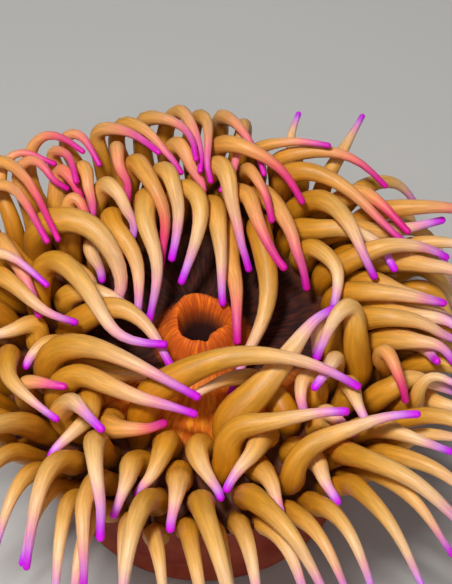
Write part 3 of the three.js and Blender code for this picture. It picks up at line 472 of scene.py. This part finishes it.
# The map: five rows of strips for the tentacles, then the disc and the column.
MAP_SIZE = 380
STRIPS = 28  # in a row
STRIP_WIDTH = MAP_SIZE / STRIPS
STRIP_EDGE = 0.6  # left free on both sides
ROW_HEIGHTS = {"A": 52, "B": 50, "C": 48, "D": 38}
DISC_MAP_CENTRE = (76, 304)
DISC_MAP_RADIUS = 73
COLUMN_MAP = (158, 234, 372, 296)  # left, bottom, right, top
SOLE_MAP_CENTRE = (200, 338)
SOLE_MAP_RADIUS = 32


def strip_of(ring, slot):
    """Left edge and bottom edge of a tentacle's strip on the map, and the strip's height."""
    row = slot // STRIPS
    bottom = sum(height for name, height in ROW_HEIGHTS.items() if name < ring)
    return (slot % STRIPS) * STRIP_WIDTH, bottom + row * ROW_HEIGHTS[ring], ROW_HEIGHTS[ring]


def map_place(x, y):
    return np.stack(np.broadcast_arrays(x, y), -1) / MAP_SIZE


def round_map(centre, reach, turn):
    return map_place(centre[0] + reach * np.cos(turn), centre[1] + reach * np.sin(turn))


# ---- the disc's surface

CORE_COLUMNS = 360  # round the mouth
CORE_EDGE = 24  # radius where the mouth's fine grid ends and the tentacles' ground begins
RIM_COLUMNS = 168
GROUND_STEP = 1.1  # between the places of the ground
GROUND_EDGE = 0.6  # how far they stay from its edges
ROOT_EDGE = 0.45  # and from a root
LIP_FOOT = 8.7  # radius at which the lips meet the bare disc
FURROWS = 0.09  # depth of the lines on the disc between the tentacles
LIP_FURROWS = 0.06  # of those on the bare disc and the lips
PUCKER = 0.13
FINE_PUCKER = 0.04


def ripples(angle, counts, seed):
    """Waves round the axis that never quite repeat, from -1 to 1."""
    total = 0
    for i, count in enumerate(counts):
        turn = TAU * chance(seed + i, 3)
        stray = 1.6 * np.sin(angle * (2 + i) + TAU * chance(seed + i, 5))
        total = total + np.cos(angle * count + turn + stray) * (0.55 + 0.45 * chance(seed + i, 7))
    return total / len(counts)


def disc_height(x, y):
    radius = np.hypot(x, y)
    angle = np.arctan2(y, x)
    furrow = FURROWS * ripples(angle, (64, 97, 131), 11) * np.clip((radius - 8) / 4, 0, 1)
    return DISC_TOP + swell(radius) + furrow * np.clip((MARGIN_RADIUS - radius) / 3, 0, 1)


def places_round(radius, angles, height):
    return np.stack(np.broadcast_arrays(radius * np.cos(angles), radius * np.sin(angles), height), -1)


def on_disc(flat):
    return np.column_stack([flat, disc_height(flat[:, 0], flat[:, 1])])


# The lips at some angles in degrees: the crest's radius and height, and the inner edge's radius.
LIPS = {
    -180: (4.9, 4.9, 4.1), -150: (5, 4.8, 4.1), -120: (4.6, 4.8, 3.6), -94: (4.3, 5, 3.1),
    -76: (4.5, 4.5, 3.4), -55: (4.1, 6.1, 2.4), -25: (4.9, 6.4, 2.8), 0: (6, 5.6, 4),
    14: (6.6, 4.5, 5.2), 30: (6.3, 5.6, 4.2), 60: (5.9, 5, 3.8), 90: (6.2, 6, 3.8),
    120: (6.4, 6.5, 4), 150: (5.7, 5.6, 4.2),
}
SMOOTHING = 31  # over how many half degrees round the mouth the lips' values are smoothed


def lips_at(angles):
    """The crest's radius and height and the inner edge's radius at each angle, smoothly round."""
    known = np.radians(list(LIPS))
    wanted = (angles + math.pi) % TAU - math.pi
    known = np.concatenate([known - TAU, known, known + TAU])
    fine = np.linspace(-TAU, TAU, 1441)
    kernel = np.hanning(SMOOTHING)
    out = []
    for values in zip(*LIPS.values()):
        rough = np.interp(fine, known, np.tile(values, 3))
        smooth = np.convolve(rough, kernel / kernel.sum(), mode="same")
        out.append(np.interp(wanted, fine, smooth))
    return out


def lip_profile(angles):
    """Radius and height over DISC_TOP of the core's surface, from CORE_EDGE in over the lips and down
    the throat: arrays of rows by angles."""
    crest, height, inner = lips_at(angles)
    flat = np.ones_like(angles)
    outside = [(radius * flat, swell(radius) * flat) for radius in (26, CORE_EDGE, 21, 18, 15, 12.5)]
    control = outside + [
        (10.4 * flat, swell(10.4) + 0.05 * height),
        (LIP_FOOT * flat, swell(LIP_FOOT) + 0.03 * height),
        (crest + 0.66 * (LIP_FOOT - crest), 0.47 * height),
        (crest + 0.32 * (LIP_FOOT - crest), 0.86 * height),
        (crest, height),
        (crest - 0.4 * (crest - inner), 0.93 * height),
        (inner + 0.35, 0.68 * height),
        (inner - 0.15, 0.3 * height),
        (inner * 0.5 + 1.2, -0.9 * flat),
        (inner * 0.25 + 1.5, -3.4 * flat),
        (1.9 * flat, -6.6 * flat),
        (1.3 * flat, -9.6 * flat),
        (0.6 * flat, -10.6 * flat),
        (-0.6 * flat, -10.6 * flat),
    ]
    control = np.array(control)  # rows, (radius, height), angles
    last = len(control) - 3
    rows = [np.linspace(0, 5, 27)[:-1], np.linspace(5, 13, 33)[:-1], np.linspace(13, last, 12)]
    return spline_at(control, np.concatenate(rows))


def surface_normals(grid):
    """Normals of a grid of places whose columns close round."""
    down = np.gradient(grid, axis=0)
    side = np.roll(grid, -1, axis=1) - np.roll(grid, 1, axis=1)
    normal = np.cross(side, down)
    return normal / np.maximum(np.linalg.norm(normal, axis=2, keepdims=True), 1e-9)


def add_core(skin):
    """The bare disc, the lips and the throat. Returns the numbers of its outer ring, and how far that
    lies from the throat's bottom along the surface."""
    angles = TAU * np.arange(CORE_COLUMNS) / CORE_COLUMNS
    profile = lip_profile(angles)
    radius, height = profile[:, 0], profile[:, 1] + DISC_TOP
    grid = places_round(radius, angles, height)
    normals = surface_normals(grid)
    on_lips = np.exp(-(((radius - 5.2) / 2.6) ** 2)) * (height > DISC_TOP - 4)
    fine = ripples(angles, (61, 76, 88), 31) * FINE_PUCKER
    coarse = ripples(angles, (11, 17, 26), 41) * PUCKER
    furrow = LIP_FURROWS * ripples(angles, (64, 83, 97), 11) * np.clip((radius - 8) / 4, 0, 1)
    depth = on_lips * (fine + coarse) + furrow * (height > DISC_TOP - 2)
    depth[-1] = 0
    depth[0] = disc_height(grid[0, :, 0], grid[0, :, 1]) - grid[0, :, 2]
    grid = grid + normals * depth[..., None]
    steps = np.linalg.norm(np.diff(profile.mean(2), axis=0), axis=1)
    inward = np.append(0, np.cumsum(steps))
    from_centre = inward[-1] + radius[-1].mean() - inward
    numbers = skin.add_places(grid)

    def map_of(row, column):
        turn = TAU * column / CORE_COLUMNS
        return disc_map(from_centre[row], turn, from_centre[0])

    skin.add_grid(numbers, map_of)
    bottom = skin.add_places([0, 0, grid[-1, :, 2].mean() - 0.1])
    ring_map = map_of(len(grid) - 1, np.arange(CORE_COLUMNS + 1))
    skin.add_cap(numbers[-1], bottom, ring_map, np.array(DISC_MAP_CENTRE) / MAP_SIZE)
    return numbers[0], from_centre[0]


def disc_map(distance, turn, core):
    """Place on the map at a distance along the surface from the throat's bottom. core is how far
    from there the core's edge lies."""
    whole = core + MARGIN_RADIUS - CORE_EDGE
    return round_map(DISC_MAP_CENTRE, distance / whole * DISC_MAP_RADIUS, turn)


def add_ground(skin, core_ring, core, rings):
    """The disc between the roots of the tentacles, whose rings of places on the disc are in rings.
    Returns the numbers of the outer ring."""
    angles = TAU * np.arange(RIM_COLUMNS) / RIM_COLUMNS
    outer_ring = skin.add_places(on_disc(places_round(MARGIN_RADIUS, angles, 0)[:, :2]))
    loops = [core_ring, outer_ring, *rings]
    all_places = np.concatenate(skin.places)
    filler = skin.add_places(on_disc(ground_filler([all_places[ring, :2] for ring in rings])))
    numbers = np.concatenate([*loops, filler])
    all_places = np.concatenate(skin.places)
    flat = all_places[numbers, :2]
    edges, loop_of = [], np.full(len(numbers), -1)
    for k, ring in enumerate(loops):
        first, size = len(edges), len(ring)
        edges += [(first + i, first + (i + 1) % size) for i in range(size)]
        loop_of[first:first + size] = k
    result = geometry.delaunay_2d_cdt([Vector(place) for place in flat], edges, [], 0, 1e-7)
    triangles = np.array([[result[3][v][0] for v in face] for face in result[2]])
    one, two, three = loop_of[triangles].T
    inside = (one >= 0) & (one == two) & (two == three) & (one != 1)  # loop 1 is the outer ring
    triangles = triangles[~inside]
    a, b, c = (flat[triangles[:, i]] for i in range(3))
    ab, ac = b - a, c - a
    turned = ab[:, 0] * ac[:, 1] - ab[:, 1] * ac[:, 0] < 0
    triangles[turned] = triangles[turned][:, ::-1]
    radius = np.hypot(flat[:, 0], flat[:, 1])
    maps = disc_map(core + radius - CORE_EDGE, np.arctan2(flat[:, 1], flat[:, 0]), core)
    skin.add_triangles(numbers[triangles], maps[triangles])
    return outer_ring


def ground_filler(rings):
    """Places strewn evenly over the ground, clear of the tentacles' rings."""
    steps = int(MARGIN_RADIUS / GROUND_STEP) + 1
    places = []
    for i in range(-steps, steps + 1):
        for j in range(-steps, steps + 1):
            number = i * 977 + j
            x = (i + 0.5 * (j % 2) + 0.3 * (chance(number, 61) - 0.5)) * GROUND_STEP
            y = (j + 0.3 * (chance(number, 67) - 0.5)) * GROUND_STEP * 0.87
            if CORE_EDGE + GROUND_EDGE < math.hypot(x, y) < MARGIN_RADIUS - GROUND_EDGE:
                places.append((x, y))
    places = np.array(places)
    clear = np.ones(len(places), bool)
    for ring in rings:
        centre = ring.mean(0)
        reach = np.linalg.norm(ring - centre, axis=1).max() + ROOT_EDGE
        clear &= np.linalg.norm(places - centre, axis=1) > reach
    return places[clear]


# ---- tentacles

SIDES = {"A": 14, "B": 14, "C": 14, "D": 11}
BODY_RINGS = {"A": 25, "B": 24, "C": 23, "D": 18}
FLARE = 0.45  # how far a root spreads on the disc
FILLET_RINGS = 3
DOME_RINGS = 4
BODY_START = 2.3  # mm from a tentacle's root to the first ring of its body
KNOB = 0.12  # how much a tip swells
KNOB_PLACE = 1.3  # mm from the tip
KNOB_WIDTH = 1.2
ROOT_ROOM = 0.7  # mm that the first ring has for its turn from the root's direction
EASE = 0.75  # share of the room between two rings that their turn may take up
EASE_ROUNDS = 150
EASE_STEP = 0.25
BEND_WEIGHT = 0.25  # draws the rings to where a tentacle bends


def frames_along(centres, radii, aim):
    """Two cross directions at each centre, carried along without twist. Where the line bends tightly
    the rings share the bend out, so that none crosses the next. aim is the root's direction."""
    along = np.vstack([aim, np.gradient(centres, axis=0)])
    along /= np.linalg.norm(along, axis=1, keepdims=True)
    room = np.append(ROOT_ROOM, np.linalg.norm(np.diff(centres, axis=0), axis=1)) * EASE
    widths = np.append(radii[0], np.maximum(radii[1:], radii[:-1]))
    for _ in range(EASE_ROUNDS):
        turn = np.arccos(np.clip((along[1:] * along[:-1]).sum(1), -1, 1))
        step = (EASE_STEP * (along[1:] - along[:-1])) * (turn * widths > room)[:, None]
        along[1:] -= step
        along[1:-1] += step[1:]
        along /= np.linalg.norm(along, axis=1, keepdims=True)
    along = along[1:]
    side = np.array([1.0, 0, 0])
    sides = []
    for direction in along:
        side = side - direction * side.dot(direction)
        side /= np.linalg.norm(side)
        sides.append(side)
    sides = np.array(sides)
    return sides, np.cross(sides, along)


def body_shares(line, start, end, count):
    """Shares of the length at which the rings stand, closer together where the line bends."""
    ahead = np.diff(line, axis=0)
    ahead /= np.linalg.norm(ahead, axis=1, keepdims=True)
    turn = np.arccos(np.clip((ahead[1:] * ahead[:-1]).sum(1), -1, 1))
    level = np.append(0, np.cumsum(1 / (POINTS - 1) + BEND_WEIGHT * np.append(turn, 0)))
    known = np.arange(POINTS) / (POINTS - 1)
    levels = np.interp([start, end], known, level)
    return np.interp(np.linspace(*levels, count), level, known)


def add_tentacle(skin, name, number, line, base):
    """Adds a tentacle and returns the numbers of its ring on the disc."""
    ring, slot = name[0], int(name[1:])
    sides = SIDES[ring]
    steps = np.linalg.norm(np.diff(line, axis=0), axis=1)
    length = steps.sum()
    control = np.vstack([2 * line[0] - line[1], line, 2 * line[-1] - line[-2]])

    def centre_at(share):
        return spline_at(control, np.asarray(share) * (POINTS - 1))

    tip = thickness(base, 1.0) * (1 + KNOB * 0.5)
    start = BODY_START / length
    shares = body_shares(line, start, 1 - tip / length, BODY_RINGS[ring])
    dome = 1 - tip / length * (1 - np.sin(np.arange(1, DOME_RINGS + 1) / (DOME_RINGS + 1) * TAU / 4))
    shares = np.concatenate([shares, dome])
    left = (1 - shares) * length
    radii = thickness(base, shares) * (1 + KNOB * np.exp(-(((left - KNOB_PLACE) / KNOB_WIDTH) ** 2)))
    inside = np.clip((tip - left) / tip, 0, 1)
    radii *= np.sqrt(1 - inside**2)
    phase = TAU * chance(number, 8)
    radii *= 1 + 0.025 * np.sin(shares * 9 + phase) + 0.012 * np.sin(shares * 23 + 2 * phase)
    centres = centre_at(shares)
    cross_x, cross_y = frames_along(centres, radii, line[1] - line[0])
    angles = TAU * np.arange(sides) / sides
    oval = 1 + 0.03 * np.sin(2 * angles + phase + 3 * shares[:, None])
    spoke = cross_x[:, None] * np.cos(angles)[:, None] + cross_y[:, None] * np.sin(angles)[:, None]
    tube = centres[:, None] + spoke * (radii[:, None] * oval)[..., None]

    root = line[0] + (line[1] - line[0]) / np.linalg.norm(line[1] - line[0])
    neck = thickness(base, 1 / length)
    outward = tube[0] - centres[0]
    flat = outward[:, :2] / np.linalg.norm(outward[:, :2], axis=1, keepdims=True)
    foot = on_disc(root[:2] + flat * (neck + FLARE))
    knee = on_disc(root[:2] + flat * neck * 0.98)
    knee[:, 2] += 0.1
    t = (np.arange(FILLET_RINGS) / FILLET_RINGS)[:, None, None]
    fillet = foot * (1 - t) ** 2 + 2 * knee * t * (1 - t) + tube[0] * t**2

    grid = np.concatenate([fillet, tube])
    all_shares = np.concatenate([shares[0] * t.ravel(), shares])
    finger = np.concatenate([t.ravel(), np.ones(len(shares))])
    marks = {
        "share": np.repeat(all_shares, sides) * PALER.get(name, 1),
        "finger": np.repeat(finger, sides),
        "tint": chance(number, 9),
        "warmth": warmth_of(name, number),
        "round_x": np.tile(np.cos(angles), len(grid)),
        "round_y": np.tile(np.sin(angles), len(grid)),
        "reach": np.repeat(all_shares * length, sides),
    }
    numbers = skin.add_places(grid, **marks)
    marks.update(share=PALER.get(name, 1), finger=1, round_x=0, round_y=0, reach=length)
    end = skin.add_places(centre_at([1.0]), **marks)[0]
    left_edge, bottom, height = strip_of(ring, slot)
    heights = np.concatenate([t.ravel() * 2, 2 + (height - 4) * (shares - start) / (1 - start)])

    def map_of(row, column):
        x = left_edge + STRIP_EDGE + (STRIP_WIDTH - 2 * STRIP_EDGE) * column / sides
        return map_place(x, bottom + 1 + heights[row])

    # The grid runs clockwise as seen from the tip, so its columns are turned round.
    skin.add_grid(numbers[:, ::-1], lambda row, column: map_of(row, sides - column))
    ring_map = map_of(len(grid) - 1, sides - np.arange(sides + 1))
    top_map = np.array([left_edge + STRIP_WIDTH / 2, bottom + height - 1]) / MAP_SIZE
    skin.add_cap(numbers[-1, ::-1], end, ring_map, top_map)
    return numbers[0, ::-1]


LIPS_OUT = 11  # radius that holds all of the lips
LIP_GAP = 0.35  # mm between the lips and a tentacle's middle radius
LIP_LIFT = 0.08  # mm that a tentacle is raised at a time
LIP_LIFTS = 60  # at most
LIFT_SPREAD = 0.16  # share of its length over which a lift dies away


def raise_off_lips(core, lines, radii):
    """Lifts the tentacles that hang over the lips towards the eye until they clear the pucker."""
    lips = core[(np.hypot(core[:, 0], core[:, 1]) < LIPS_OUT) & (core[:, 2] > DISC_TOP + 1)]
    share = np.linspace(0, 1, POINTS)
    for line, radius in zip(lines, radii):
        if np.hypot(line[:, 0], line[:, 1]).min() > LIPS_OUT + 3:
            continue
        for _ in range(LIP_LIFTS):
            fine = np.concatenate([line, (line[1:] + line[:-1]) / 2])
            reach = np.concatenate([radius, (radius[1:] + radius[:-1]) / 2])
            gaps = np.linalg.norm(fine[:, None] - lips, axis=2).min(1) - reach
            if gaps.min() > LIP_GAP:
                break
            at = share[gaps.argmin() % POINTS]
            line += LIP_LIFT * np.exp(-(((share - at) / LIFT_SPREAD) ** 2))[:, None] * TO_EYE


# The tentacles with rose tips. The others' are violet.
WARM = {"A6", "A18", "B5", "B6", "B9", "B11", "B12", *(f"C{slot}" for slot in range(3, 12)), "C16", "C27",
        *(f"D{slot}" for slot in range(10, 27))}
PALER = {"A24": 0.82}  # how far along the colours a tentacle's tip lies, where that isn't to the end


def warmth_of(name, number):
    return (0.75 if name in WARM else 0.25) + 0.3 * (chance(number, 10) - 0.5)


# ---- the column

COLUMN_ROWS = 52
LOBES = 0.9  # depths in mm
FOLDS = 0.3
RIDGES = 0.16


def column_radius(height):
    low = np.clip((height - FOOT_HEIGHT) / (WAIST_HEIGHT - FOOT_HEIGHT), 0, 1)
    low = low * low * (3 - 2 * low)
    foot = (FOOT_RADIUS - FOOT_SPREAD) * (1 - low) + WAIST_RADIUS * low
    rise = np.maximum(height - WAIST_HEIGHT, 0) / (COLUMN_TOP - WAIST_HEIGHT)
    return foot + (MARGIN_RADIUS - 0.5 - WAIST_RADIUS) * rise**FLARING


def add_column(skin, outer_ring):
    """The column, its foot and the sole."""
    angles = TAU * np.arange(RIM_COLUMNS) / RIM_COLUMNS
    heights = np.linspace(COLUMN_TOP, FOOT_HEIGHT + 0.4, COLUMN_ROWS)
    radii = column_radius(heights)
    edge_heights = np.array([2.2, 1.3, 0.55, 0.12])
    edge_radii = FOOT_RADIUS - np.array([0.4, 0.0, 0.2, 0.7])
    heights, radii = np.append(heights, edge_heights), np.append(radii, edge_radii)
    hold = np.clip((heights - 1.5) / 5, 0, 1) * np.clip((COLUMN_TOP + 1.5 - heights) / 6, 0, 1)
    tall = heights[:, None]
    ridges = RIDGES * ripples(angles + 0.012 * tall, (28, 44, 56), 71)
    lobes = LOBES * ripples(angles + 0.02 * tall, (3, 5, 8), 81)
    folds = FOLDS * np.sin(tall * 1.35 + 1.8 * np.sin(angles * 2) + 1.2 * np.sin(angles * 5 + 1))
    folds = folds * (0.5 + 0.5 * np.sin(angles * 3 + tall * 0.21))
    folds = folds + 0.1 * np.sin(tall * 3.1 + 2 * np.sin(angles * 4))
    radius = radii[:, None] + hold[:, None] * (ridges + lobes + folds)
    grid = places_round(radius, angles, heights[:, None])
    column = np.clip((COLUMN_TOP + 1.5 - heights) / 4, 0, 1)
    numbers = skin.add_places(grid, column=np.repeat(column, RIM_COLUMNS))
    numbers = np.vstack([outer_ring, numbers])
    left, bottom, right, top = COLUMN_MAP

    def map_of(row, column):
        x = left + (right - left) * column / RIM_COLUMNS
        return map_place(x, top - (top - bottom) * row / (len(numbers) - 1))

    skin.add_grid(numbers[::-1], lambda row, column: map_of(len(numbers) - 1 - row, column))
    sole_radii = FOOT_RADIUS * np.array([0.96, 0.76, 0.48, 0.2])
    sole = places_round(sole_radii[:, None], angles, 0)
    sole_numbers = np.vstack([numbers[-1], skin.add_places(sole, column=1)])
    reach = np.append(edge_radii[-1], sole_radii) / edge_radii[-1] * SOLE_MAP_RADIUS

    def sole_map(row, column):
        return round_map(SOLE_MAP_CENTRE, reach[row], TAU * column / RIM_COLUMNS)

    skin.add_grid(sole_numbers[::-1], lambda row, column: sole_map(4 - row, column))
    centre = skin.add_places([0, 0, 0], column=1)
    ring_map = sole_map(4, np.arange(RIM_COLUMNS + 1))[::-1]
    skin.add_cap(sole_numbers[-1, ::-1], centre, ring_map, np.array(SOLE_MAP_CENTRE) / MAP_SIZE)


def make_skin():
    names, lines, bases = lay_tentacles()
    radii = thickness(bases[:, None], np.linspace(0, 1, POINTS))
    lines = settle(names, lines, radii)
    skin = Skin()
    core_ring, core = add_core(skin)
    raise_off_lips(skin.places[0], lines, radii)
    rings = [add_tentacle(skin, name, i + 1, lines[i], bases[i]) for i, name in enumerate(names)]
    outer_ring = add_ground(skin, core_ring, core, rings)
    add_column(skin, outer_ring)
    return skin.build("anemone_skin")


skin = make_skin()
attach(skin, "root")
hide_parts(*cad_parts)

# ---- materials


def colour(red, green, blue):
    """A colour for a shader from the usual 0 to 255 levels."""
    levels = [level / 255 for level in (red, green, blue)]
    return tuple((v / 12.92 if v <= 0.04045 else ((v + 0.055) / 1.055) ** 2.4) for v in levels) + (1,)


class Shading:
    """Builds a material's nodes. add() returns the node it adds, the other methods a node's output,
    or all of its outputs where they are several."""

    def __init__(self, name):
        self.material = bpy.data.materials.new(name)
        self.material.use_nodes = True
        self.tree = self.material.node_tree
        self.tree.nodes.clear()

    def add(self, kind, inputs=(), **settings):
        node = self.tree.nodes.new(kind)
        for key, value in settings.items():
            setattr(node, key, value)
        for key, value in dict(inputs).items():
            if isinstance(value, bpy.types.NodeSocket):
                self.tree.links.new(value, node.inputs[key])
            else:
                node.inputs[key].default_value = value
        return node

    def mark(self, name):
        return self.add("ShaderNodeAttribute", attribute_name=name).outputs["Fac"]

    def maths(self, operation, *values):
        return self.add("ShaderNodeMath", dict(enumerate(values)), operation=operation).outputs[0]

    def times(self, one, other):
        return self.maths("MULTIPLY", one, other)

    def plus(self, one, other):
        return self.maths("ADD", one, other)

    def between(self, value, low, high, new_low=0.0, new_high=1.0):
        inputs = {"Value": value, "From Min": low, "From Max": high, "To Min": new_low,
                  "To Max": new_high}
        return self.add("ShaderNodeMapRange", inputs, clamp=True,
                        interpolation_type="SMOOTHSTEP").outputs["Result"]

    def vector(self, x, y, z):
        return self.add("ShaderNodeCombineXYZ", {0: x, 1: y, 2: z}).outputs[0]

    def parts(self, vector):
        return self.add("ShaderNodeSeparateXYZ", {0: vector}).outputs

    def grey(self, value):
        return self.vector(value, value, value)

    def vectors(self, operation, *values):
        return self.add("ShaderNodeVectorMath", dict(enumerate(values)), operation=operation).outputs

    def noise(self, vector, scale, detail=2.0, roughness=0.5):
        inputs = {"Vector": vector, "Scale": scale, "Detail": detail, "Roughness": roughness}
        return self.add("ShaderNodeTexNoise", inputs).outputs["Fac"]

    def ramp(self, value, stops):
        node = self.add("ShaderNodeValToRGB", {"Fac": value})
        elements = node.color_ramp.elements
        while len(elements) < len(stops):
            elements.new(0.5)
        for element, (at, levels) in zip(elements, stops.items()):
            element.position, element.color = at, colour(*levels)
        return node.outputs["Color"]

    def mix(self, share, one, other, blend="MIX"):
        inputs = {"Factor": share, 6: one, 7: other}
        return self.add("ShaderNodeMix", inputs, data_type="RGBA", blend_type=blend).outputs[2]


# The colours along a tentacle, by the share of its length. The dark brown at share 0 is painted shade at
# the tentacles' roots.
COOL_STOPS = {
    0: (112, 54, 6), 0.15: (190, 120, 6), 0.42: (208, 146, 42), 0.6: (230, 177, 98),
    0.76: (243, 200, 154), 0.83: (240, 170, 190), 0.89: (224, 150, 230), 0.94: (206, 80, 242),
    0.97: (214, 18, 246), 1: (224, 8, 236),
}
# The dark brown at share 0 here too is painted shade at the roots.
WARM_STOPS = {
    0: (112, 52, 6), 0.15: (190, 118, 8), 0.42: (208, 142, 44), 0.62: (228, 160, 80),
    0.72: (236, 150, 98), 0.79: (238, 112, 102), 0.86: (226, 62, 116), 0.93: (222, 30, 128),
    1: (222, 16, 156),
}


def flesh_material():
    """Moist flesh: ochre tentacles turning to salmon, rose and violet, an orange disc with fine darker
    lines and a brick brown column. Painted shade darkens the tentacles' roots, the disc among them, the
    back of the disc and the throat. Painted light brightens the disc's front."""
    s = Shading("anemone_flesh")
    share, finger, tint, warmth = (s.mark(name) for name in ("share", "finger", "tint", "warmth"))
    around = s.vector(s.mark("round_x"), s.mark("round_y"), s.times(s.mark("reach"), 0.07))
    own = s.times(tint, 37.0)
    around_own = s.vectors("ADD", around, s.grey(own))[0]
    stripes = s.noise(around_own, 2.6, 4, 0.6)
    clouds = s.noise(around_own, 0.9, 2)

    # where along the colours a place of a tentacle lies
    stray = s.plus(s.times(s.maths("SUBTRACT", tint, 0.5), 0.12),
                   s.times(s.maths("SUBTRACT", clouds, 0.5), 0.12))
    fading = s.times(share, s.maths("SUBTRACT", 1.0, share))
    along = s.plus(share, s.times(stray, s.times(fading, 4.0)))
    tentacle = s.mix(s.between(warmth, 0.1, 0.95), s.ramp(along, COOL_STOPS), s.ramp(along, WARM_STOPS))
    streak = s.between(stripes, 0.36, 0.66, 0.86, 1.1)
    tentacle = s.mix(1.0, tentacle, s.grey(streak), "MULTIPLY")

    # the disc and the lips
    place = s.add("ShaderNodeTexCoord").outputs["Object"]
    x, y, z = (s.times(part, 1000.0) for part in s.parts(place))
    spot, flat = s.vector(x, y, z), s.vector(x, y, 0.0)
    radius = s.vectors("LENGTH", flat)["Value"]
    unit = s.parts(s.vectors("NORMALIZE", flat)[0])
    spokes = s.vector(unit[0], unit[1], s.times(radius, 0.012))
    lines = s.noise(spokes, 24.0, 5, 0.6)
    broad = s.noise(flat, 0.16, 3)
    line_share = s.between(lines, 0.42, 0.62)
    # Painted shade and painted light: the back of the disc gets deep browns for the shade that falls
    # there, and the front gets bright oranges where the light falls. front blends the two.
    painted_shade_back = s.mix(line_share, colour(36, 10, 5), colour(72, 26, 10))
    light = s.mix(line_share, colour(226, 108, 12), colour(255, 158, 36))
    front = s.between(s.plus(y, s.times(broad, 6.0)), -9.0, -3.0, 1.0, 0.0)
    disc = s.mix(front, painted_shade_back, light)
    patches = s.between(s.noise(spot, 0.3, 2), 0.35, 0.65, 0.3, 1.0)
    lips = s.mix(s.times(line_share, patches), colour(184, 76, 6), colour(248, 124, 14))
    disc = s.mix(s.between(radius, 8.5, 10.5, 1.0, 0.0), disc, lips)
    # Painted shade: from radius 21 mm out, among the tentacles' roots, the disc turns deep brown.
    disc = s.mix(s.between(radius, 21.0, 27.0), disc, colour(84, 36, 8))
    # Painted shade: low inside the mouth and down the throat the flesh is coloured nearly black.
    painted_throat_shade = s.between(z, DISC_TOP - 1.0, DISC_TOP + 5.2, 1.0, 0.0)
    painted_throat_shade = s.times(painted_throat_shade, s.between(radius, 3.6, 5.6, 1.0, 0.0))
    disc = s.mix(painted_throat_shade, disc, colour(52, 12, 6))

    # the column
    turn = s.maths("ARCTAN2", unit[1], unit[0])
    mottle = s.noise(spot, 0.11, 3)
    wave = s.maths("SINE", s.plus(s.times(turn, 48.0), s.times(mottle, 9.0)))
    column = s.mix(s.between(mottle, 0.36, 0.64), colour(168, 60, 38), colour(192, 84, 50))
    column = s.mix(s.between(wave, -0.6, 1.0, 0.0, 0.12), column, colour(110, 34, 26))
    body = s.mix(s.mark("column"), disc, column)
    shown = s.mix(finger, body, tentacle)

    # fine relief
    grain = s.noise(spot, 2.4, 3, 0.6)
    height = s.plus(s.times(stripes, finger), s.times(grain, 0.35))
    bump = s.add("ShaderNodeBump", {"Height": height, "Strength": 0.35, "Distance": 0.0003})
    moist = s.maths("MAXIMUM", finger, s.mark("column"))
    gloss = {"Factor": moist, 2: 0.9, 3: s.between(grain, 0.3, 0.7, 0.42, 0.56)}
    gloss = s.add("ShaderNodeMix", gloss, data_type="FLOAT").outputs[0]

    shader = s.add("ShaderNodeBsdfPrincipled", {
        "Base Color": shown,
        "Roughness": gloss,
        "Normal": bump.outputs[0],
        "Subsurface Weight": 0.25,
        "Subsurface Radius": (1.0, 0.42, 0.22),
        "Subsurface Scale": 0.0012,
        "IOR": 1.4,
        "Coat Weight": 0.06,
        "Coat Roughness": 0.3,
    })
    s.add("ShaderNodeOutputMaterial", {"Surface": shader.outputs[0]})
    return s.material


skin.data.materials.append(flesh_material())

# ---- floor, lights and camera


def make_floor():
    bpy.ops.mesh.primitive_plane_add(size=3)
    floor = bpy.context.object
    floor.name = "floor"
    s = Shading("pale_floor")
    shader = s.add("ShaderNodeBsdfPrincipled", {"Base Color": colour(190, 188, 184), "Roughness": 0.8})
    s.add("ShaderNodeOutputMaterial", {"Surface": shader.outputs[0]})
    floor.data.materials.append(s.material)


FILL_SIZE = 0.35  # m
LIT_PLACE = Vector((0, 0, 0.05))  # what the lights point at


def add_light(name, place, power, size):
    light = bpy.data.lights.new(name, "AREA")
    light.energy, light.size = power, size
    thing = add_object(name, light)
    thing.location = place
    thing.rotation_euler = (LIT_PLACE - Vector(place)).to_track_quat("-Z", "Y").to_euler()


def make_lights():
    add_light("key", (-0.12, -0.14, 0.63), 3.6, 0.09)
    add_light("front", (0.02, -0.37, 0.56), 0.55, 0.12)
    add_light("fill", (0.5, -0.45, 0.14), 0.35, FILL_SIZE)
    add_light("left_fill", (-0.6, -0.2, 0.1), 0.3, FILL_SIZE)
    add_light("back_fill", (0.1, 0.6, 0.16), 0.5, FILL_SIZE)
    world = bpy.data.worlds.new("soft_studio")
    bpy.context.scene.world = world
    world.use_nodes = True
    background = world.node_tree.nodes["Background"]
    background.inputs["Color"].default_value = (0.9, 0.93, 1.0, 1)
    background.inputs["Strength"].default_value = 0.02


AIM_RIGHT = 4.8  # mm from the mouth's middle to the middle of the view
AIM_UP = 9.0
VIEW_HEIGHT = 116.8  # mm seen at SIGHT_DISTANCE


def make_camera():
    """The camera looks down at SIGHT_ANGLE from the front."""
    s, c = math.sin(SIGHT_ANGLE), math.cos(SIGHT_ANGLE)
    place = Vector((AIM_RIGHT, AIM_UP * s - SIGHT_DISTANCE * c,
                    DISC_TOP + AIM_UP * c + SIGHT_DISTANCE * s)) * MM
    camera = bpy.data.cameras.new("camera")
    camera.sensor_width = 36
    camera.lens = 36 * SIGHT_DISTANCE / VIEW_HEIGHT
    camera.clip_start = 0.01
    thing = add_object("camera", camera)
    thing.location = place
    thing.rotation_euler = (TAU / 4 - SIGHT_ANGLE, 0, 0)
    bpy.context.scene.camera = thing


make_floor()
make_lights()
make_camera()
bpy.context.scene.view_settings.view_transform = "Standard"
